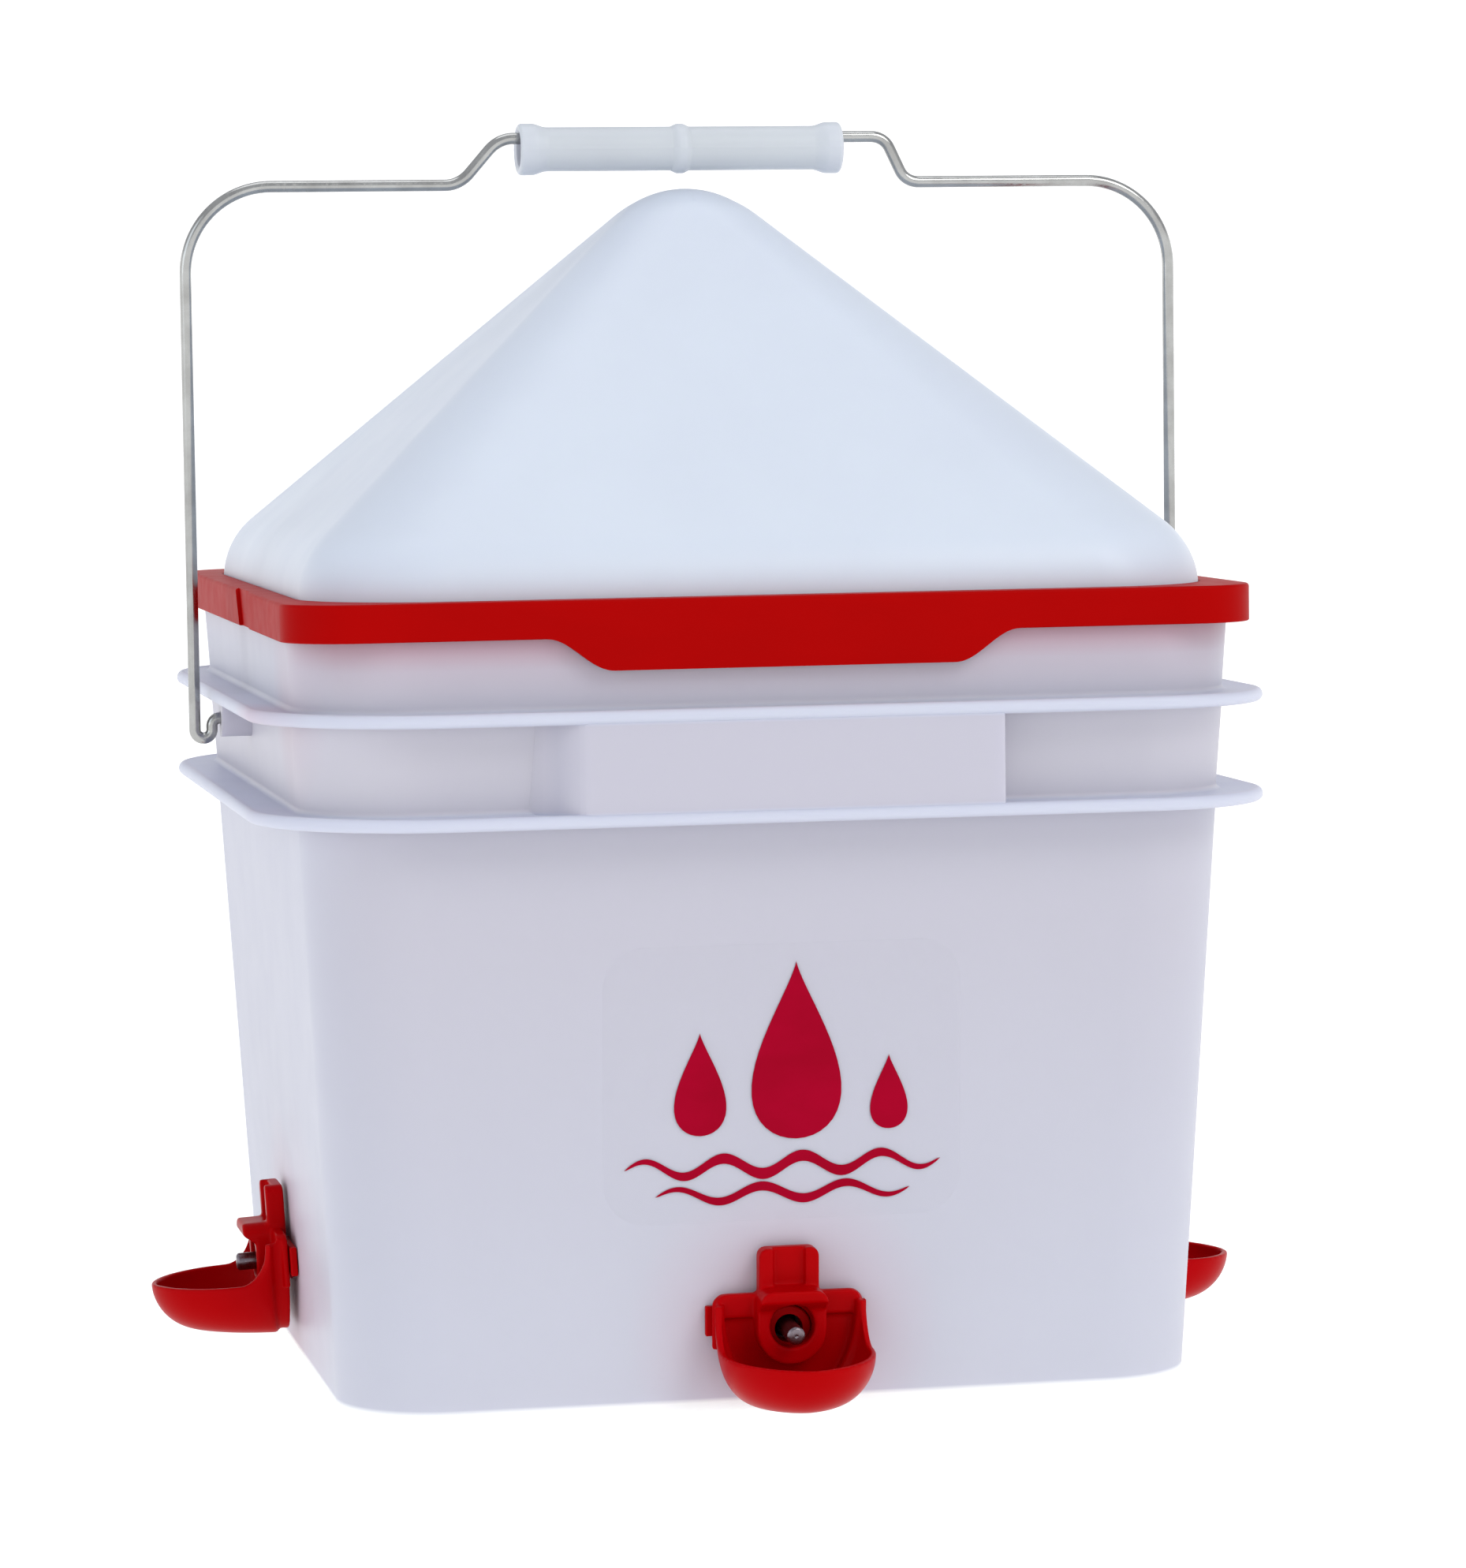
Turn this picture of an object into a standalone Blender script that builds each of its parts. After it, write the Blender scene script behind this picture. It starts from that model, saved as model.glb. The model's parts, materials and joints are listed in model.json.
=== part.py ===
"""Square pail waterer for poultry, with one trigger-pin drinking cup on each side.

Frame: the origin is the centre of the pail's underside, +Z is up, the front faces -Y, and the bail
turns about an axis along X. Sizes are in metres.

Each drinker is made in a frame of its own and placed four times. Its X runs along the wall, its -Y
runs out of the wall along the trigger pin, and its origin is where the pin's axis leaves the wall.
In that frame "out" is a distance along -Y.
"""

import math

import bmesh
import bpy
from mathutils import Matrix, Vector

MM = 0.001
GAP = 0.3 * MM
RIGHT_ANGLE = math.pi / 2

# Pail: a tapered square tub with two stiffening ribs below its rim
BASE_HALF = 125.3 * MM
WALL_SLOPE = 12.0 / 225.0
WALL = 2.3 * MM
FLOOR = 2.6 * MM
PAIL_CORNER = 30.0 * MM
FOOT_ROUND = 5.7 * MM
RIM_TOP = 231.5 * MM
RIB_HALF = 148.0 * MM
RIB_CORNER = 55.0 * MM
RIB_THICK = 3.0 * MM
LOWER_RIB = 172.7 * MM
UPPER_RIB = 201.7 * MM
PANEL_FACE = 147.0 * MM
PANEL_HALF = 61.5 * MM
PANEL_FOOT_HALF = 67.0 * MM
EAR_FACE = 144.7 * MM
EAR_RADIUS = 8.5 * MM
EAR_BORE = 2.1 * MM
EAR_BORE_END = 137.6 * MM

# Lid: a red frame that caps the rim, and the pyramid cover that it clamps
FRAME_HALF = 140.65 * MM
FRAME_CORNER = 20.0 * MM
FRAME_WALL = 2.2 * MM
FRAME_BOTTOM = 225.05 * MM
FRAME_TOP = 235.85 * MM
FRAME_TAB_DROP = 9.2 * MM
FRAME_TAB_TOP_HALF = 68.0 * MM
FRAME_TAB_HALF = 49.0 * MM
FRAME_TAB_STEPS = 8
FRAME_EDGE = 0.6 * MM
COVER_HALF = 132.2 * MM
COVER_WALL = 2.0 * MM
COVER_FLANGE = 1.5 * MM
COVER_APEX = 354.4 * MM
COVER_SLOPE = math.radians(41.85)
APEX_ROUND = 33.0 * MM
SHOULDER_ROUND = 26.0 * MM
COVER_CORNER_TOP = 12.0 * MM
COVER_CORNER_BASE = 37.0 * MM

# Bail: one bent wire, with a loose tube grip on its crown
WIRE = 1.75 * MM
BAIL_AXIS_Z = 196.3 * MM
BAIL_TIP_X = 138.6 * MM
BAIL_INNER_X = 147.3 * MM
BAIL_LEG_X = 152.4 * MM
BAIL_TIP_BEND = 2.3 * MM
BAIL_SHOULDER_Z = 355.4 * MM
BAIL_SHOULDER_BEND = 26.0 * MM
BAIL_CROWN_Z = 369.3 * MM
BAIL_STEP_X = 64.4 * MM
BAIL_STEP_ANGLE = math.radians(56)
BAIL_STEP_BEND = 8.0 * MM
BAIL_HOOK_DROP = 1.1 * MM
CROWN_SHIFT = 2.8 * MM
GRIP_LENGTH = 99.7 * MM
GRIP_X = -1.35 * MM
GRIP_Z = 366.0 * MM
GRIP_BORE = 5.25 * MM
GRIP_BODY = 6.65 * MM
GRIP_FLARE = 7.8 * MM
GRIP_FLARE_LENGTH = 4.5 * MM
GRIP_TAPER_END = 9.0 * MM
GRIP_LIP = 0.4 * MM
GRIP_LIP_LENGTH = 1.0 * MM
GRIP_RING = 7.5 * MM
GRIP_RING_HALF = 1.6 * MM
GRIP_RING_FOOT = 3.0 * MM

# Drinkers: heights of the four pin axes above the underside, as drilled by hand
PIN_HEIGHTS = {"front": 26.5 * MM, "left": 31.5 * MM, "right": 26.5 * MM, "back": 28.0 * MM}
TURNS = {"front": 0.0, "right": RIGHT_ANGLE, "back": 2 * RIGHT_ANGLE, "left": -RIGHT_ANGLE}
BARREL = 6.5 * MM
BARREL_FRONT = 5.5 * MM
BARREL_BACK = -16.0 * MM
CHAMBER = 5.1 * MM
CHAMBER_FRONT = -1.2 * MM
OUTLET = 4.1 * MM
SADDLE_HALF = 23.5 * MM
SADDLE_OUT = 2.4 * MM
SADDLE_LOW = -2.1 * MM
SADDLE_HIGH = 6.6 * MM
PIN = 2.65 * MM
PIN_TIP = 16.2 * MM
PIN_CHAMFER = 0.5 * MM
PIN_PIVOT = -6.0 * MM
PIN_BALL = 4.5 * MM
PIN_BALL_BACK = -8.5 * MM
PIN_STUB = 1.8 * MM
PIN_STUB_END = -11.0 * MM
SPRING_COIL = 3.1 * MM
SPRING_WIRE = 0.35 * MM
SPRING_TURNS = 4
SPRING_STEPS_PER_TURN = 10
SPRING_BACK_CLEARANCE = 0.5 * MM
SPRING_FRONT_CLEARANCE = 1.0 * MM
SEAL_BORE = 3.8 * MM
SEAL_LENGTH = 1.7 * MM
SEAL_CLEARANCE = 0.15 * MM
CAP_WALL = 1.6 * MM
CAP_THICK = 2.2 * MM
CAP_SKIRT = 3.5 * MM
CAP_INLET = 2.2 * MM
GASKET_WIDTH = 4.0 * MM
NUT_FLATS = 20.0 * MM
NUT_NEAR = -4.7 * MM
NUT_FAR = -10.2 * MM

# Cup: a boat-shaped bowl hung from a flange, with a tab above it and a hooded spout
CUP_BACK = 2.7 * MM
FLANGE_OUT = 4.5 * MM
FLANGE_HALF = 22.0 * MM
FLANGE_LOW = -5.7 * MM
FLANGE_HIGH = 10.5 * MM
TAB_HALF = 8.75 * MM
TAB_HIGH = 23.5 * MM
TAB_BACK = 1.4 * MM
TAB_OUT = 7.7 * MM
TAB_CHANNEL_HALF = 4.6 * MM
TAB_CHANNEL_FLOOR = 4.7 * MM
TAB_CORNER = 2.5 * MM
FLANGE_CORNER = 4.0 * MM
HOOD_HALF = 10.0 * MM
HOOD_HIGH = 12.5 * MM
HOOD_FACE = 11.0 * MM
HOOD_VISOR = 15.2 * MM
HOOD_ROUND_Z = 0.5 * MM
VISOR_FOOT_Z = 6.2 * MM
VISOR_LIP_Z = 10.7 * MM
VISOR_CUT_OVERRUN = 2.0 * MM
HOOD_HOLE = 6.5 * MM
HOOD_HOLE_Z = 1.9 * MM
BOWL_HALF = 22.2 * MM
BOWL_TIP = 42.5 * MM
BOWL_WALL = 1.8 * MM
BOWL_RIM = -4.0 * MM
BOWL_LOW = -22.2 * MM
BOWL_KEEL_RISE = 0.11
BOWL_PLAN_POWER = 1.1
CHEEK_HIGH = 8.0 * MM
CHEEK_MIDDLE = 6.0 * MM
CHEEK_OUT = 9.5 * MM
CHEEK_SWEEP = 7.5 * MM
# How the bowl narrows from its rim to its keel: (level, share of the width, share of the reach)
BOWL_LEVELS = (
    (0, 0.3, 0.62),
    (0.08, 0.45, 0.7),
    (0.22, 0.68, 0.8),
    (0.45, 0.88, 0.92),
    (0.7, 0.97, 0.98),
    (1, 1, 1),
)

# Decal on the front wall
DECAL_X = -0.5 * MM
DECAL_Z = 97.0 * MM
DECAL_HALF_WIDTH = 52.0 * MM
DECAL_HALF_HEIGHT = 40.0 * MM
DECAL_CORNER = 8.0 * MM
DECAL_THICK = 0.3 * MM

ROUND_STEPS = 16
PIN_STEPS = 12
CORNER_STEPS = 6
CREASE_DEG = 35


def material(name, colour, roughness, metallic=0.0):
    made = bpy.data.materials.new(name)
    made.use_nodes = True
    shader = made.node_tree.nodes["Principled BSDF"]
    shader.inputs["Base Color"].default_value = (*colour, 1.0)
    shader.inputs["Roughness"].default_value = roughness
    shader.inputs["Metallic"].default_value = metallic
    made.diffuse_color = (*colour, 1.0)
    return made


def object_of(name, bm, looks=None, crease_deg=CREASE_DEG):
    """Turns a bmesh into a smooth-shaded object whose edges over the crease angle stay sharp."""
    bmesh.ops.recalc_face_normals(bm, faces=bm.faces)
    mesh = bpy.data.meshes.new(name)
    bm.to_mesh(mesh)
    bm.free()
    return object_with(name, mesh, looks, crease_deg)


def finish_mesh(mesh, looks, crease_deg=CREASE_DEG):
    mesh.shade_smooth()
    mesh.set_sharp_from_angle(angle=math.radians(crease_deg))
    if looks is not None:
        mesh.materials.clear()
        mesh.materials.append(looks)


def object_with(name, mesh, looks, crease_deg=CREASE_DEG):
    finish_mesh(mesh, looks, crease_deg)
    made = bpy.data.objects.new(name, mesh)
    bpy.context.scene.collection.objects.link(made)
    return made


def rounded_square(half_x, half_y, radius, z):
    """A ring of points at one height, anticlockwise from above, starting at the +X side."""
    ring = []
    for corner in range(4):
        sign_x = 1 if corner in (0, 3) else -1
        sign_y = 1 if corner in (0, 1) else -1
        centre = Vector((sign_x * (half_x - radius), sign_y * (half_y - radius), z))
        for step in range(CORNER_STEPS + 1):
            angle = RIGHT_ANGLE * (corner + step / CORNER_STEPS)
            ring.append(centre + Vector((math.cos(angle), math.sin(angle), 0)) * radius)
    return ring


def loft(rings, loop=False):
    """Joins rings of equal length, and caps both ends unless the last ring loops back to the first."""
    bm = bmesh.new()
    made = [[bm.verts.new(point) for point in ring] for ring in rings]
    pairs = list(zip(made, made[1:]))
    if loop:
        pairs.append((made[-1], made[0]))
    for lower, upper in pairs:
        for here in range(len(lower)):
            after = (here + 1) % len(lower)
            bm.faces.new((lower[here], lower[after], upper[after], upper[here]))
    if not loop:
        bm.faces.new(tuple(reversed(made[0])))
        bm.faces.new(tuple(made[-1]))
    return bm


def turned(profile, loop=False, steps=ROUND_STEPS):
    """Turns (out, radius) pairs about the pin's axis, as a solid bar or, looped, as a ring."""
    rings = []
    for out, radius in profile:
        angles = (2 * math.pi * step / steps for step in range(steps))
        rings.append([Vector((radius * math.cos(a), -out, radius * math.sin(a))) for a in angles])
    return loft(rings, loop)


def prism(outline, depth_axis, low, high):
    """Extrudes an outline, given in the two other axes' order, between two places along an axis."""
    rings = []
    for depth in (low, high):
        ring = []
        for first, second in outline:
            point = [first, second]
            point.insert(depth_axis, depth)
            ring.append(Vector(point))
        rings.append(ring)
    return loft(rings)


def arc(centre, radius, start_deg, end_deg, steps=CORNER_STEPS):
    """Points on a circle in a plane, from one angle to another."""
    points = []
    for step in range(steps + 1):
        angle = math.radians(start_deg + (end_deg - start_deg) * step / steps)
        points.append((centre[0] + radius * math.cos(angle), centre[1] + radius * math.sin(angle)))
    return points


def combined(base, tools, operation):
    """Applies one Boolean per tool to an object, then removes the tools."""
    for tool in tools:
        cut = base.modifiers.new(tool.name, "BOOLEAN")
        cut.object = tool
        cut.operation = operation
        cut.solver = "EXACT"
        tool.hide_render = True
        tool.display_type = "WIRE"
    bpy.context.view_layer.update()
    graph = bpy.context.evaluated_depsgraph_get()
    mesh = bpy.data.meshes.new_from_object(base.evaluated_get(graph))
    base.modifiers.clear()
    base.data = mesh
    for tool in tools:
        bpy.data.objects.remove(tool)
    return base


def wall_half(z):
    """Half the pail's outside width at a height."""
    return BASE_HALF + WALL_SLOPE * z


def drinker_frame(side):
    """The pose of a drinker's frame: square to the wall, which overhangs by its slope."""
    height = PIN_HEIGHTS[side]
    lean = math.atan(WALL_SLOPE)
    place = Matrix.Translation((0, -wall_half(height), height)) @ Matrix.Rotation(lean, 4, "X")
    return Matrix.Rotation(TURNS[side], 4, "Z") @ place


# ---------------------------------------------------------------- pail


def pail_rings():
    """Rings up the outside, over the rim and down the inside to the floor."""
    rings = []

    def add(half, corner, z):
        rings.append(rounded_square(half, half, corner, z))

    for angle in (0, 30, 60, 90):
        inset = FOOT_ROUND * (1 - math.sin(math.radians(angle)))
        z = FOOT_ROUND * (1 - math.cos(math.radians(angle)))
        add(wall_half(z) - inset, PAIL_CORNER - inset, z)
    for rib in (LOWER_RIB, UPPER_RIB):
        add(wall_half(rib), PAIL_CORNER, rib)
        add(RIB_HALF, RIB_CORNER, rib)
        add(RIB_HALF, RIB_CORNER, rib + RIB_THICK)
        add(wall_half(rib + RIB_THICK), PAIL_CORNER, rib + RIB_THICK)
    add(wall_half(RIM_TOP), PAIL_CORNER, RIM_TOP)
    add(wall_half(RIM_TOP) - WALL, PAIL_CORNER - WALL, RIM_TOP)
    for angle in (90, 45, 0):
        inset = FOOT_ROUND * (1 - math.sin(math.radians(angle)))
        z = FLOOR + FOOT_ROUND * (1 - math.cos(math.radians(angle)))
        add(wall_half(z) - WALL - inset, PAIL_CORNER - WALL - inset, z)
    return rings


def wall_panel():
    """The raised panel between the ribs at the middle of the front or back wall, with drafted ends."""
    foot = wall_half(LOWER_RIB) - WALL / 2
    outline = [
        (-PANEL_FOOT_HALF, -foot),
        (-PANEL_HALF, -PANEL_FACE),
        (PANEL_HALF, -PANEL_FACE),
        (PANEL_FOOT_HALF, -foot),
    ]
    return object_of("panel", prism(outline, 2, LOWER_RIB + RIB_THICK / 2, UPPER_RIB + RIB_THICK / 2))


def ear_boss(side):
    """The round-bottomed block under the upper rib that one end of the bail turns in."""
    foot = wall_half(BAIL_AXIS_Z) - WALL / 2
    outline = arc((0, BAIL_AXIS_Z), EAR_RADIUS, 180, 360)
    outline += [(EAR_RADIUS, UPPER_RIB + RIB_THICK / 2), (-EAR_RADIUS, UPPER_RIB + RIB_THICK / 2)]
    return object_of("ear", prism(outline, 0, side * foot, side * EAR_FACE))


def ear_bore(side):
    outline = arc((0, BAIL_AXIS_Z), EAR_BORE, 0, 345, steps=ROUND_STEPS - 1)
    return object_of("bore", prism(outline, 0, side * EAR_BORE_END, side * (EAR_FACE + WIRE)))


def nipple_hole(side):
    hole = object_of("hole", turned([(-3 * WALL, BARREL + GAP), (2 * WALL, BARREL + GAP)]))
    hole.matrix_world = drinker_frame(side)
    return hole


def make_pail(looks):
    pail = object_of("pail", loft(pail_rings()))
    back_panel = wall_panel()
    back_panel.rotation_euler.z = 2 * RIGHT_ANGLE
    combined(pail, [wall_panel(), back_panel, ear_boss(-1), ear_boss(1)], "UNION")
    holes = [nipple_hole(side) for side in PIN_HEIGHTS]
    combined(pail, holes + [ear_bore(-1), ear_bore(1)], "DIFFERENCE")
    finish_mesh(pail.data, looks)


# ---------------------------------------------------------------- lid


def make_lid_frame(looks):
    inner = FRAME_HALF - FRAME_WALL
    opening = COVER_HALF + GAP
    opening_corner = COVER_CORNER_BASE + GAP
    web = FRAME_TOP - FRAME_WALL
    rings = [
        rounded_square(FRAME_HALF, FRAME_HALF, FRAME_CORNER, FRAME_BOTTOM),
        rounded_square(FRAME_HALF, FRAME_HALF, FRAME_CORNER, FRAME_TOP - FRAME_EDGE),
        rounded_square(
            FRAME_HALF - FRAME_EDGE, FRAME_HALF - FRAME_EDGE, FRAME_CORNER - FRAME_EDGE, FRAME_TOP
        ),
        rounded_square(opening, opening, opening_corner, FRAME_TOP),
        rounded_square(opening, opening, opening_corner, web),
        rounded_square(inner, inner, FRAME_CORNER - FRAME_WALL, web),
        rounded_square(inner, inner, FRAME_CORNER - FRAME_WALL, FRAME_BOTTOM),
    ]
    frame = object_of("lid_frame", loft(rings, loop=True))
    run = FRAME_TAB_TOP_HALF - FRAME_TAB_HALF
    outline = [(-FRAME_TAB_TOP_HALF, FRAME_BOTTOM + FRAME_WALL)]
    for step in range(FRAME_TAB_STEPS + 1):
        along = step / FRAME_TAB_STEPS
        z = FRAME_BOTTOM - FRAME_TAB_DROP * (1 - math.cos(math.pi * along)) / 2
        outline.append((-FRAME_TAB_TOP_HALF + run * along, z))
    outline += [(-x, z) for x, z in reversed(outline)]
    tabs = []
    for sign in (-1, 1):
        near, far = sorted((sign * inner, sign * FRAME_HALF))
        tabs.append(object_of("tab", prism(outline, 1, near, far)))
    combined(frame, tabs, "UNION")
    finish_mesh(frame.data, looks)


def cover_profile():
    """(half width, height) pairs down the cover's outside, from the apex to the foot of its skirt."""
    virtual_apex = COVER_APEX - APEX_ROUND + APEX_ROUND / math.cos(COVER_SLOPE)
    points = []
    for step in range(1, 5):
        angle = COVER_SLOPE * step / 4
        points.append((APEX_ROUND * math.sin(angle), COVER_APEX - APEX_ROUND * (1 - math.cos(angle))))
    centre = COVER_HALF - SHOULDER_ROUND
    start = centre + SHOULDER_ROUND * math.sin(COVER_SLOPE)
    start_z = virtual_apex - start * math.tan(COVER_SLOPE)
    centre_z = start_z - SHOULDER_ROUND * math.cos(COVER_SLOPE)
    middle = (points[-1][0] + start) / 2
    points.append((middle, virtual_apex - middle * math.tan(COVER_SLOPE)))
    for step in range(6):
        angle = COVER_SLOPE + (RIGHT_ANGLE - COVER_SLOPE) * step / 5
        half = centre + SHOULDER_ROUND * math.sin(angle)
        points.append((half, centre_z + SHOULDER_ROUND * math.cos(angle)))
    return points


def cover_corner(half):
    """The cover's corner radius at a half width: round at the apex, wider towards the base."""
    grown = COVER_CORNER_TOP + (COVER_CORNER_BASE - COVER_CORNER_TOP) * half / COVER_HALF
    return min(half, grown)


def make_cover(looks):
    flange_top = FRAME_TOP - FRAME_WALL - GAP
    flange_half = FRAME_HALF - FRAME_WALL - 5 * GAP
    flange_corner = FRAME_CORNER - FRAME_WALL
    foot = flange_top - COVER_FLANGE
    outside = [(half, cover_corner(half), z) for half, z in cover_profile()]
    outside.append((COVER_HALF, COVER_CORNER_BASE, flange_top))
    inside = []
    slant = COVER_WALL / math.cos(COVER_SLOPE)
    for half, corner, z in outside[:-1]:
        shrink = max(half - COVER_WALL, 0) / half
        drop = max(COVER_WALL, slant * (1 - half / COVER_HALF))
        inside.append((half * shrink, corner * shrink, z - drop))
    inside = [entry for entry in inside if entry[0] > COVER_WALL]
    rings = [rounded_square(half, half, corner, z) for half, corner, z in inside]
    skirt_half = COVER_HALF - COVER_WALL
    rings.append(rounded_square(skirt_half, skirt_half, COVER_CORNER_BASE - COVER_WALL, foot))
    rings.append(rounded_square(flange_half, flange_half, flange_corner, foot))
    rings.append(rounded_square(flange_half, flange_half, flange_corner, flange_top))
    rings += [rounded_square(half, half, corner, z) for half, corner, z in reversed(outside)]
    object_of("roost_cover", loft(rings), looks, crease_deg=50)


# ---------------------------------------------------------------- bail and grip


def bail_half():
    """(distance from the middle, height) down half of the bail, from the crown to the tip in the ear."""
    bend = BAIL_STEP_BEND
    angle = math.degrees(BAIL_STEP_ANGLE)
    rise = BAIL_CROWN_Z - BAIL_SHOULDER_Z
    bend_x = bend * math.sin(BAIL_STEP_ANGLE)
    bend_drop = bend * (1 - math.cos(BAIL_STEP_ANGLE))
    slope_run = (rise - 2 * bend_drop) / math.tan(BAIL_STEP_ANGLE)
    inner_x = BAIL_STEP_X - slope_run / 2 - bend_x
    outer_x = BAIL_STEP_X + slope_run / 2 + bend_x
    points = arc((inner_x, BAIL_CROWN_Z - bend), bend, 90, 90 - angle, 5)
    points += arc((outer_x, BAIL_SHOULDER_Z + bend), bend, 270 - angle, 270, 5)
    corner = BAIL_SHOULDER_BEND
    points += arc((BAIL_LEG_X - corner, BAIL_SHOULDER_Z - corner), corner, 90, 0, 8)
    hook = (BAIL_LEG_X - BAIL_INNER_X) / 2
    hook_z = BAIL_AXIS_Z - BAIL_TIP_BEND - BAIL_HOOK_DROP
    points += arc((BAIL_LEG_X - hook, hook_z), hook, 0, -180, 6)
    bend_z = BAIL_AXIS_Z - BAIL_TIP_BEND
    points += arc((BAIL_INNER_X - BAIL_TIP_BEND, bend_z), BAIL_TIP_BEND, 0, 90, 4)
    points.append((BAIL_TIP_X, BAIL_AXIS_Z))
    return points


def make_bail(looks):
    """The wire's origin is on the axis of the two ears."""
    half = bail_half()
    route = [(-x, z) for x, z in reversed(half)] + half
    points = [(x + (CROWN_SHIFT if z > BAIL_SHOULDER_Z + WIRE else 0), z) for x, z in route]
    curve = bpy.data.curves.new("bail", "CURVE")
    curve.dimensions = "3D"
    curve.bevel_depth = WIRE
    curve.bevel_resolution = 2
    curve.use_fill_caps = True
    curve.materials.append(looks)
    line = curve.splines.new("POLY")
    line.points.add(len(points) - 1)
    for point, (x, z) in zip(line.points, points):
        point.co = (x, 0, z - BAIL_AXIS_Z, 1)
    bail = bpy.data.objects.new("bail", curve)
    bail.location.z = BAIL_AXIS_Z
    bpy.context.scene.collection.objects.link(bail)


def make_grip(looks):
    """A tube with flared ends and a ring at its middle, loose on the wire. It is turned about X."""
    half = GRIP_LENGTH / 2
    outside = [
        (-half, GRIP_FLARE - GRIP_LIP),
        (-half + GRIP_LIP_LENGTH, GRIP_FLARE),
        (-half + GRIP_FLARE_LENGTH, GRIP_FLARE),
        (-half + GRIP_TAPER_END, GRIP_BODY),
        (-GRIP_RING_FOOT, GRIP_BODY),
        (-GRIP_RING_HALF, GRIP_RING),
    ]
    outside += [(-along, radius) for along, radius in reversed(outside)]
    profile = outside + [(half, GRIP_BORE), (-half, GRIP_BORE)]
    grip = object_of("grip", turned(profile, loop=True), looks)
    grip.location = (GRIP_X, 0, GRIP_Z)
    grip.rotation_euler.z = RIGHT_ANGLE


# ---------------------------------------------------------------- drinkers


def nipple_body():
    """The threaded barrel through the wall, with the saddle plate that bears on the wall."""
    barrel = object_of("barrel", turned([(BARREL_BACK, BARREL), (BARREL_FRONT, BARREL)]))
    outline = [
        (-SADDLE_HALF, SADDLE_LOW),
        (SADDLE_HALF, SADDLE_LOW),
        (SADDLE_HALF, SADDLE_HIGH),
        (-SADDLE_HALF, SADDLE_HIGH),
    ]
    combined(barrel, [object_of("saddle", prism(outline, 1, -SADDLE_OUT, -GAP))], "UNION")
    bores = [
        object_of("outlet", turned([(CHAMBER_FRONT - MM, OUTLET), (BARREL_FRONT + MM, OUTLET)])),
        object_of("chamber", turned([(BARREL_BACK - MM, CHAMBER), (CHAMBER_FRONT, CHAMBER)])),
    ]
    return combined(barrel, bores, "DIFFERENCE")


def bowl_side():
    """Points of the rim from its back corner to its tip: (fraction of half width, out, height)."""
    points = []
    for out in (CUP_BACK, CHEEK_MIDDLE, CHEEK_OUT):
        points.append((1.0, out, CHEEK_HIGH))
    sweep_end = CHEEK_OUT + CHEEK_SWEEP
    for angle in (15, 40, 65, 90):
        out = sweep_end - CHEEK_SWEEP * math.cos(math.radians(angle))
        z = BOWL_RIM + CHEEK_SWEEP * (1 - math.sin(math.radians(angle)))
        points.append((1.0, out, z))
    for angle in (20, 38, 54, 68, 80):
        out = sweep_end + (BOWL_TIP - sweep_end) * math.sin(math.radians(angle))
        points.append((math.cos(math.radians(angle)) ** BOWL_PLAN_POWER, out, BOWL_RIM))
    points.append((0.0, BOWL_TIP, BOWL_RIM))
    return points


def bowl_ring(level, width_scale, reach_scale, inset, lift):
    """One ring round the bowl. Level runs from 0 at its keel to 1 at its rim."""
    half_ring = []
    for fraction, out, rim in bowl_side():
        across = max(BOWL_HALF * fraction * width_scale - inset * min(1, 3 * fraction), 0)
        reach = CUP_BACK + inset + (out - CUP_BACK) * reach_scale * (1 - 2 * inset / BOWL_TIP)
        keel = BOWL_LOW + BOWL_KEEL_RISE * out + lift
        half_ring.append(Vector((across, -reach, keel + (rim - keel) * level)))
    mirrored = [Vector((-p.x, p.y, p.z)) for p in reversed(half_ring[:-1])]
    return half_ring + mirrored


def bowl():
    """The open bowl, lofted up its outside and down its inside."""
    rings = [bowl_ring(*level, 0, 0) for level in BOWL_LEVELS]
    rings += [bowl_ring(*level, BOWL_WALL, BOWL_WALL) for level in reversed(BOWL_LEVELS)]
    return object_of("bowl", loft(rings))


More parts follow.
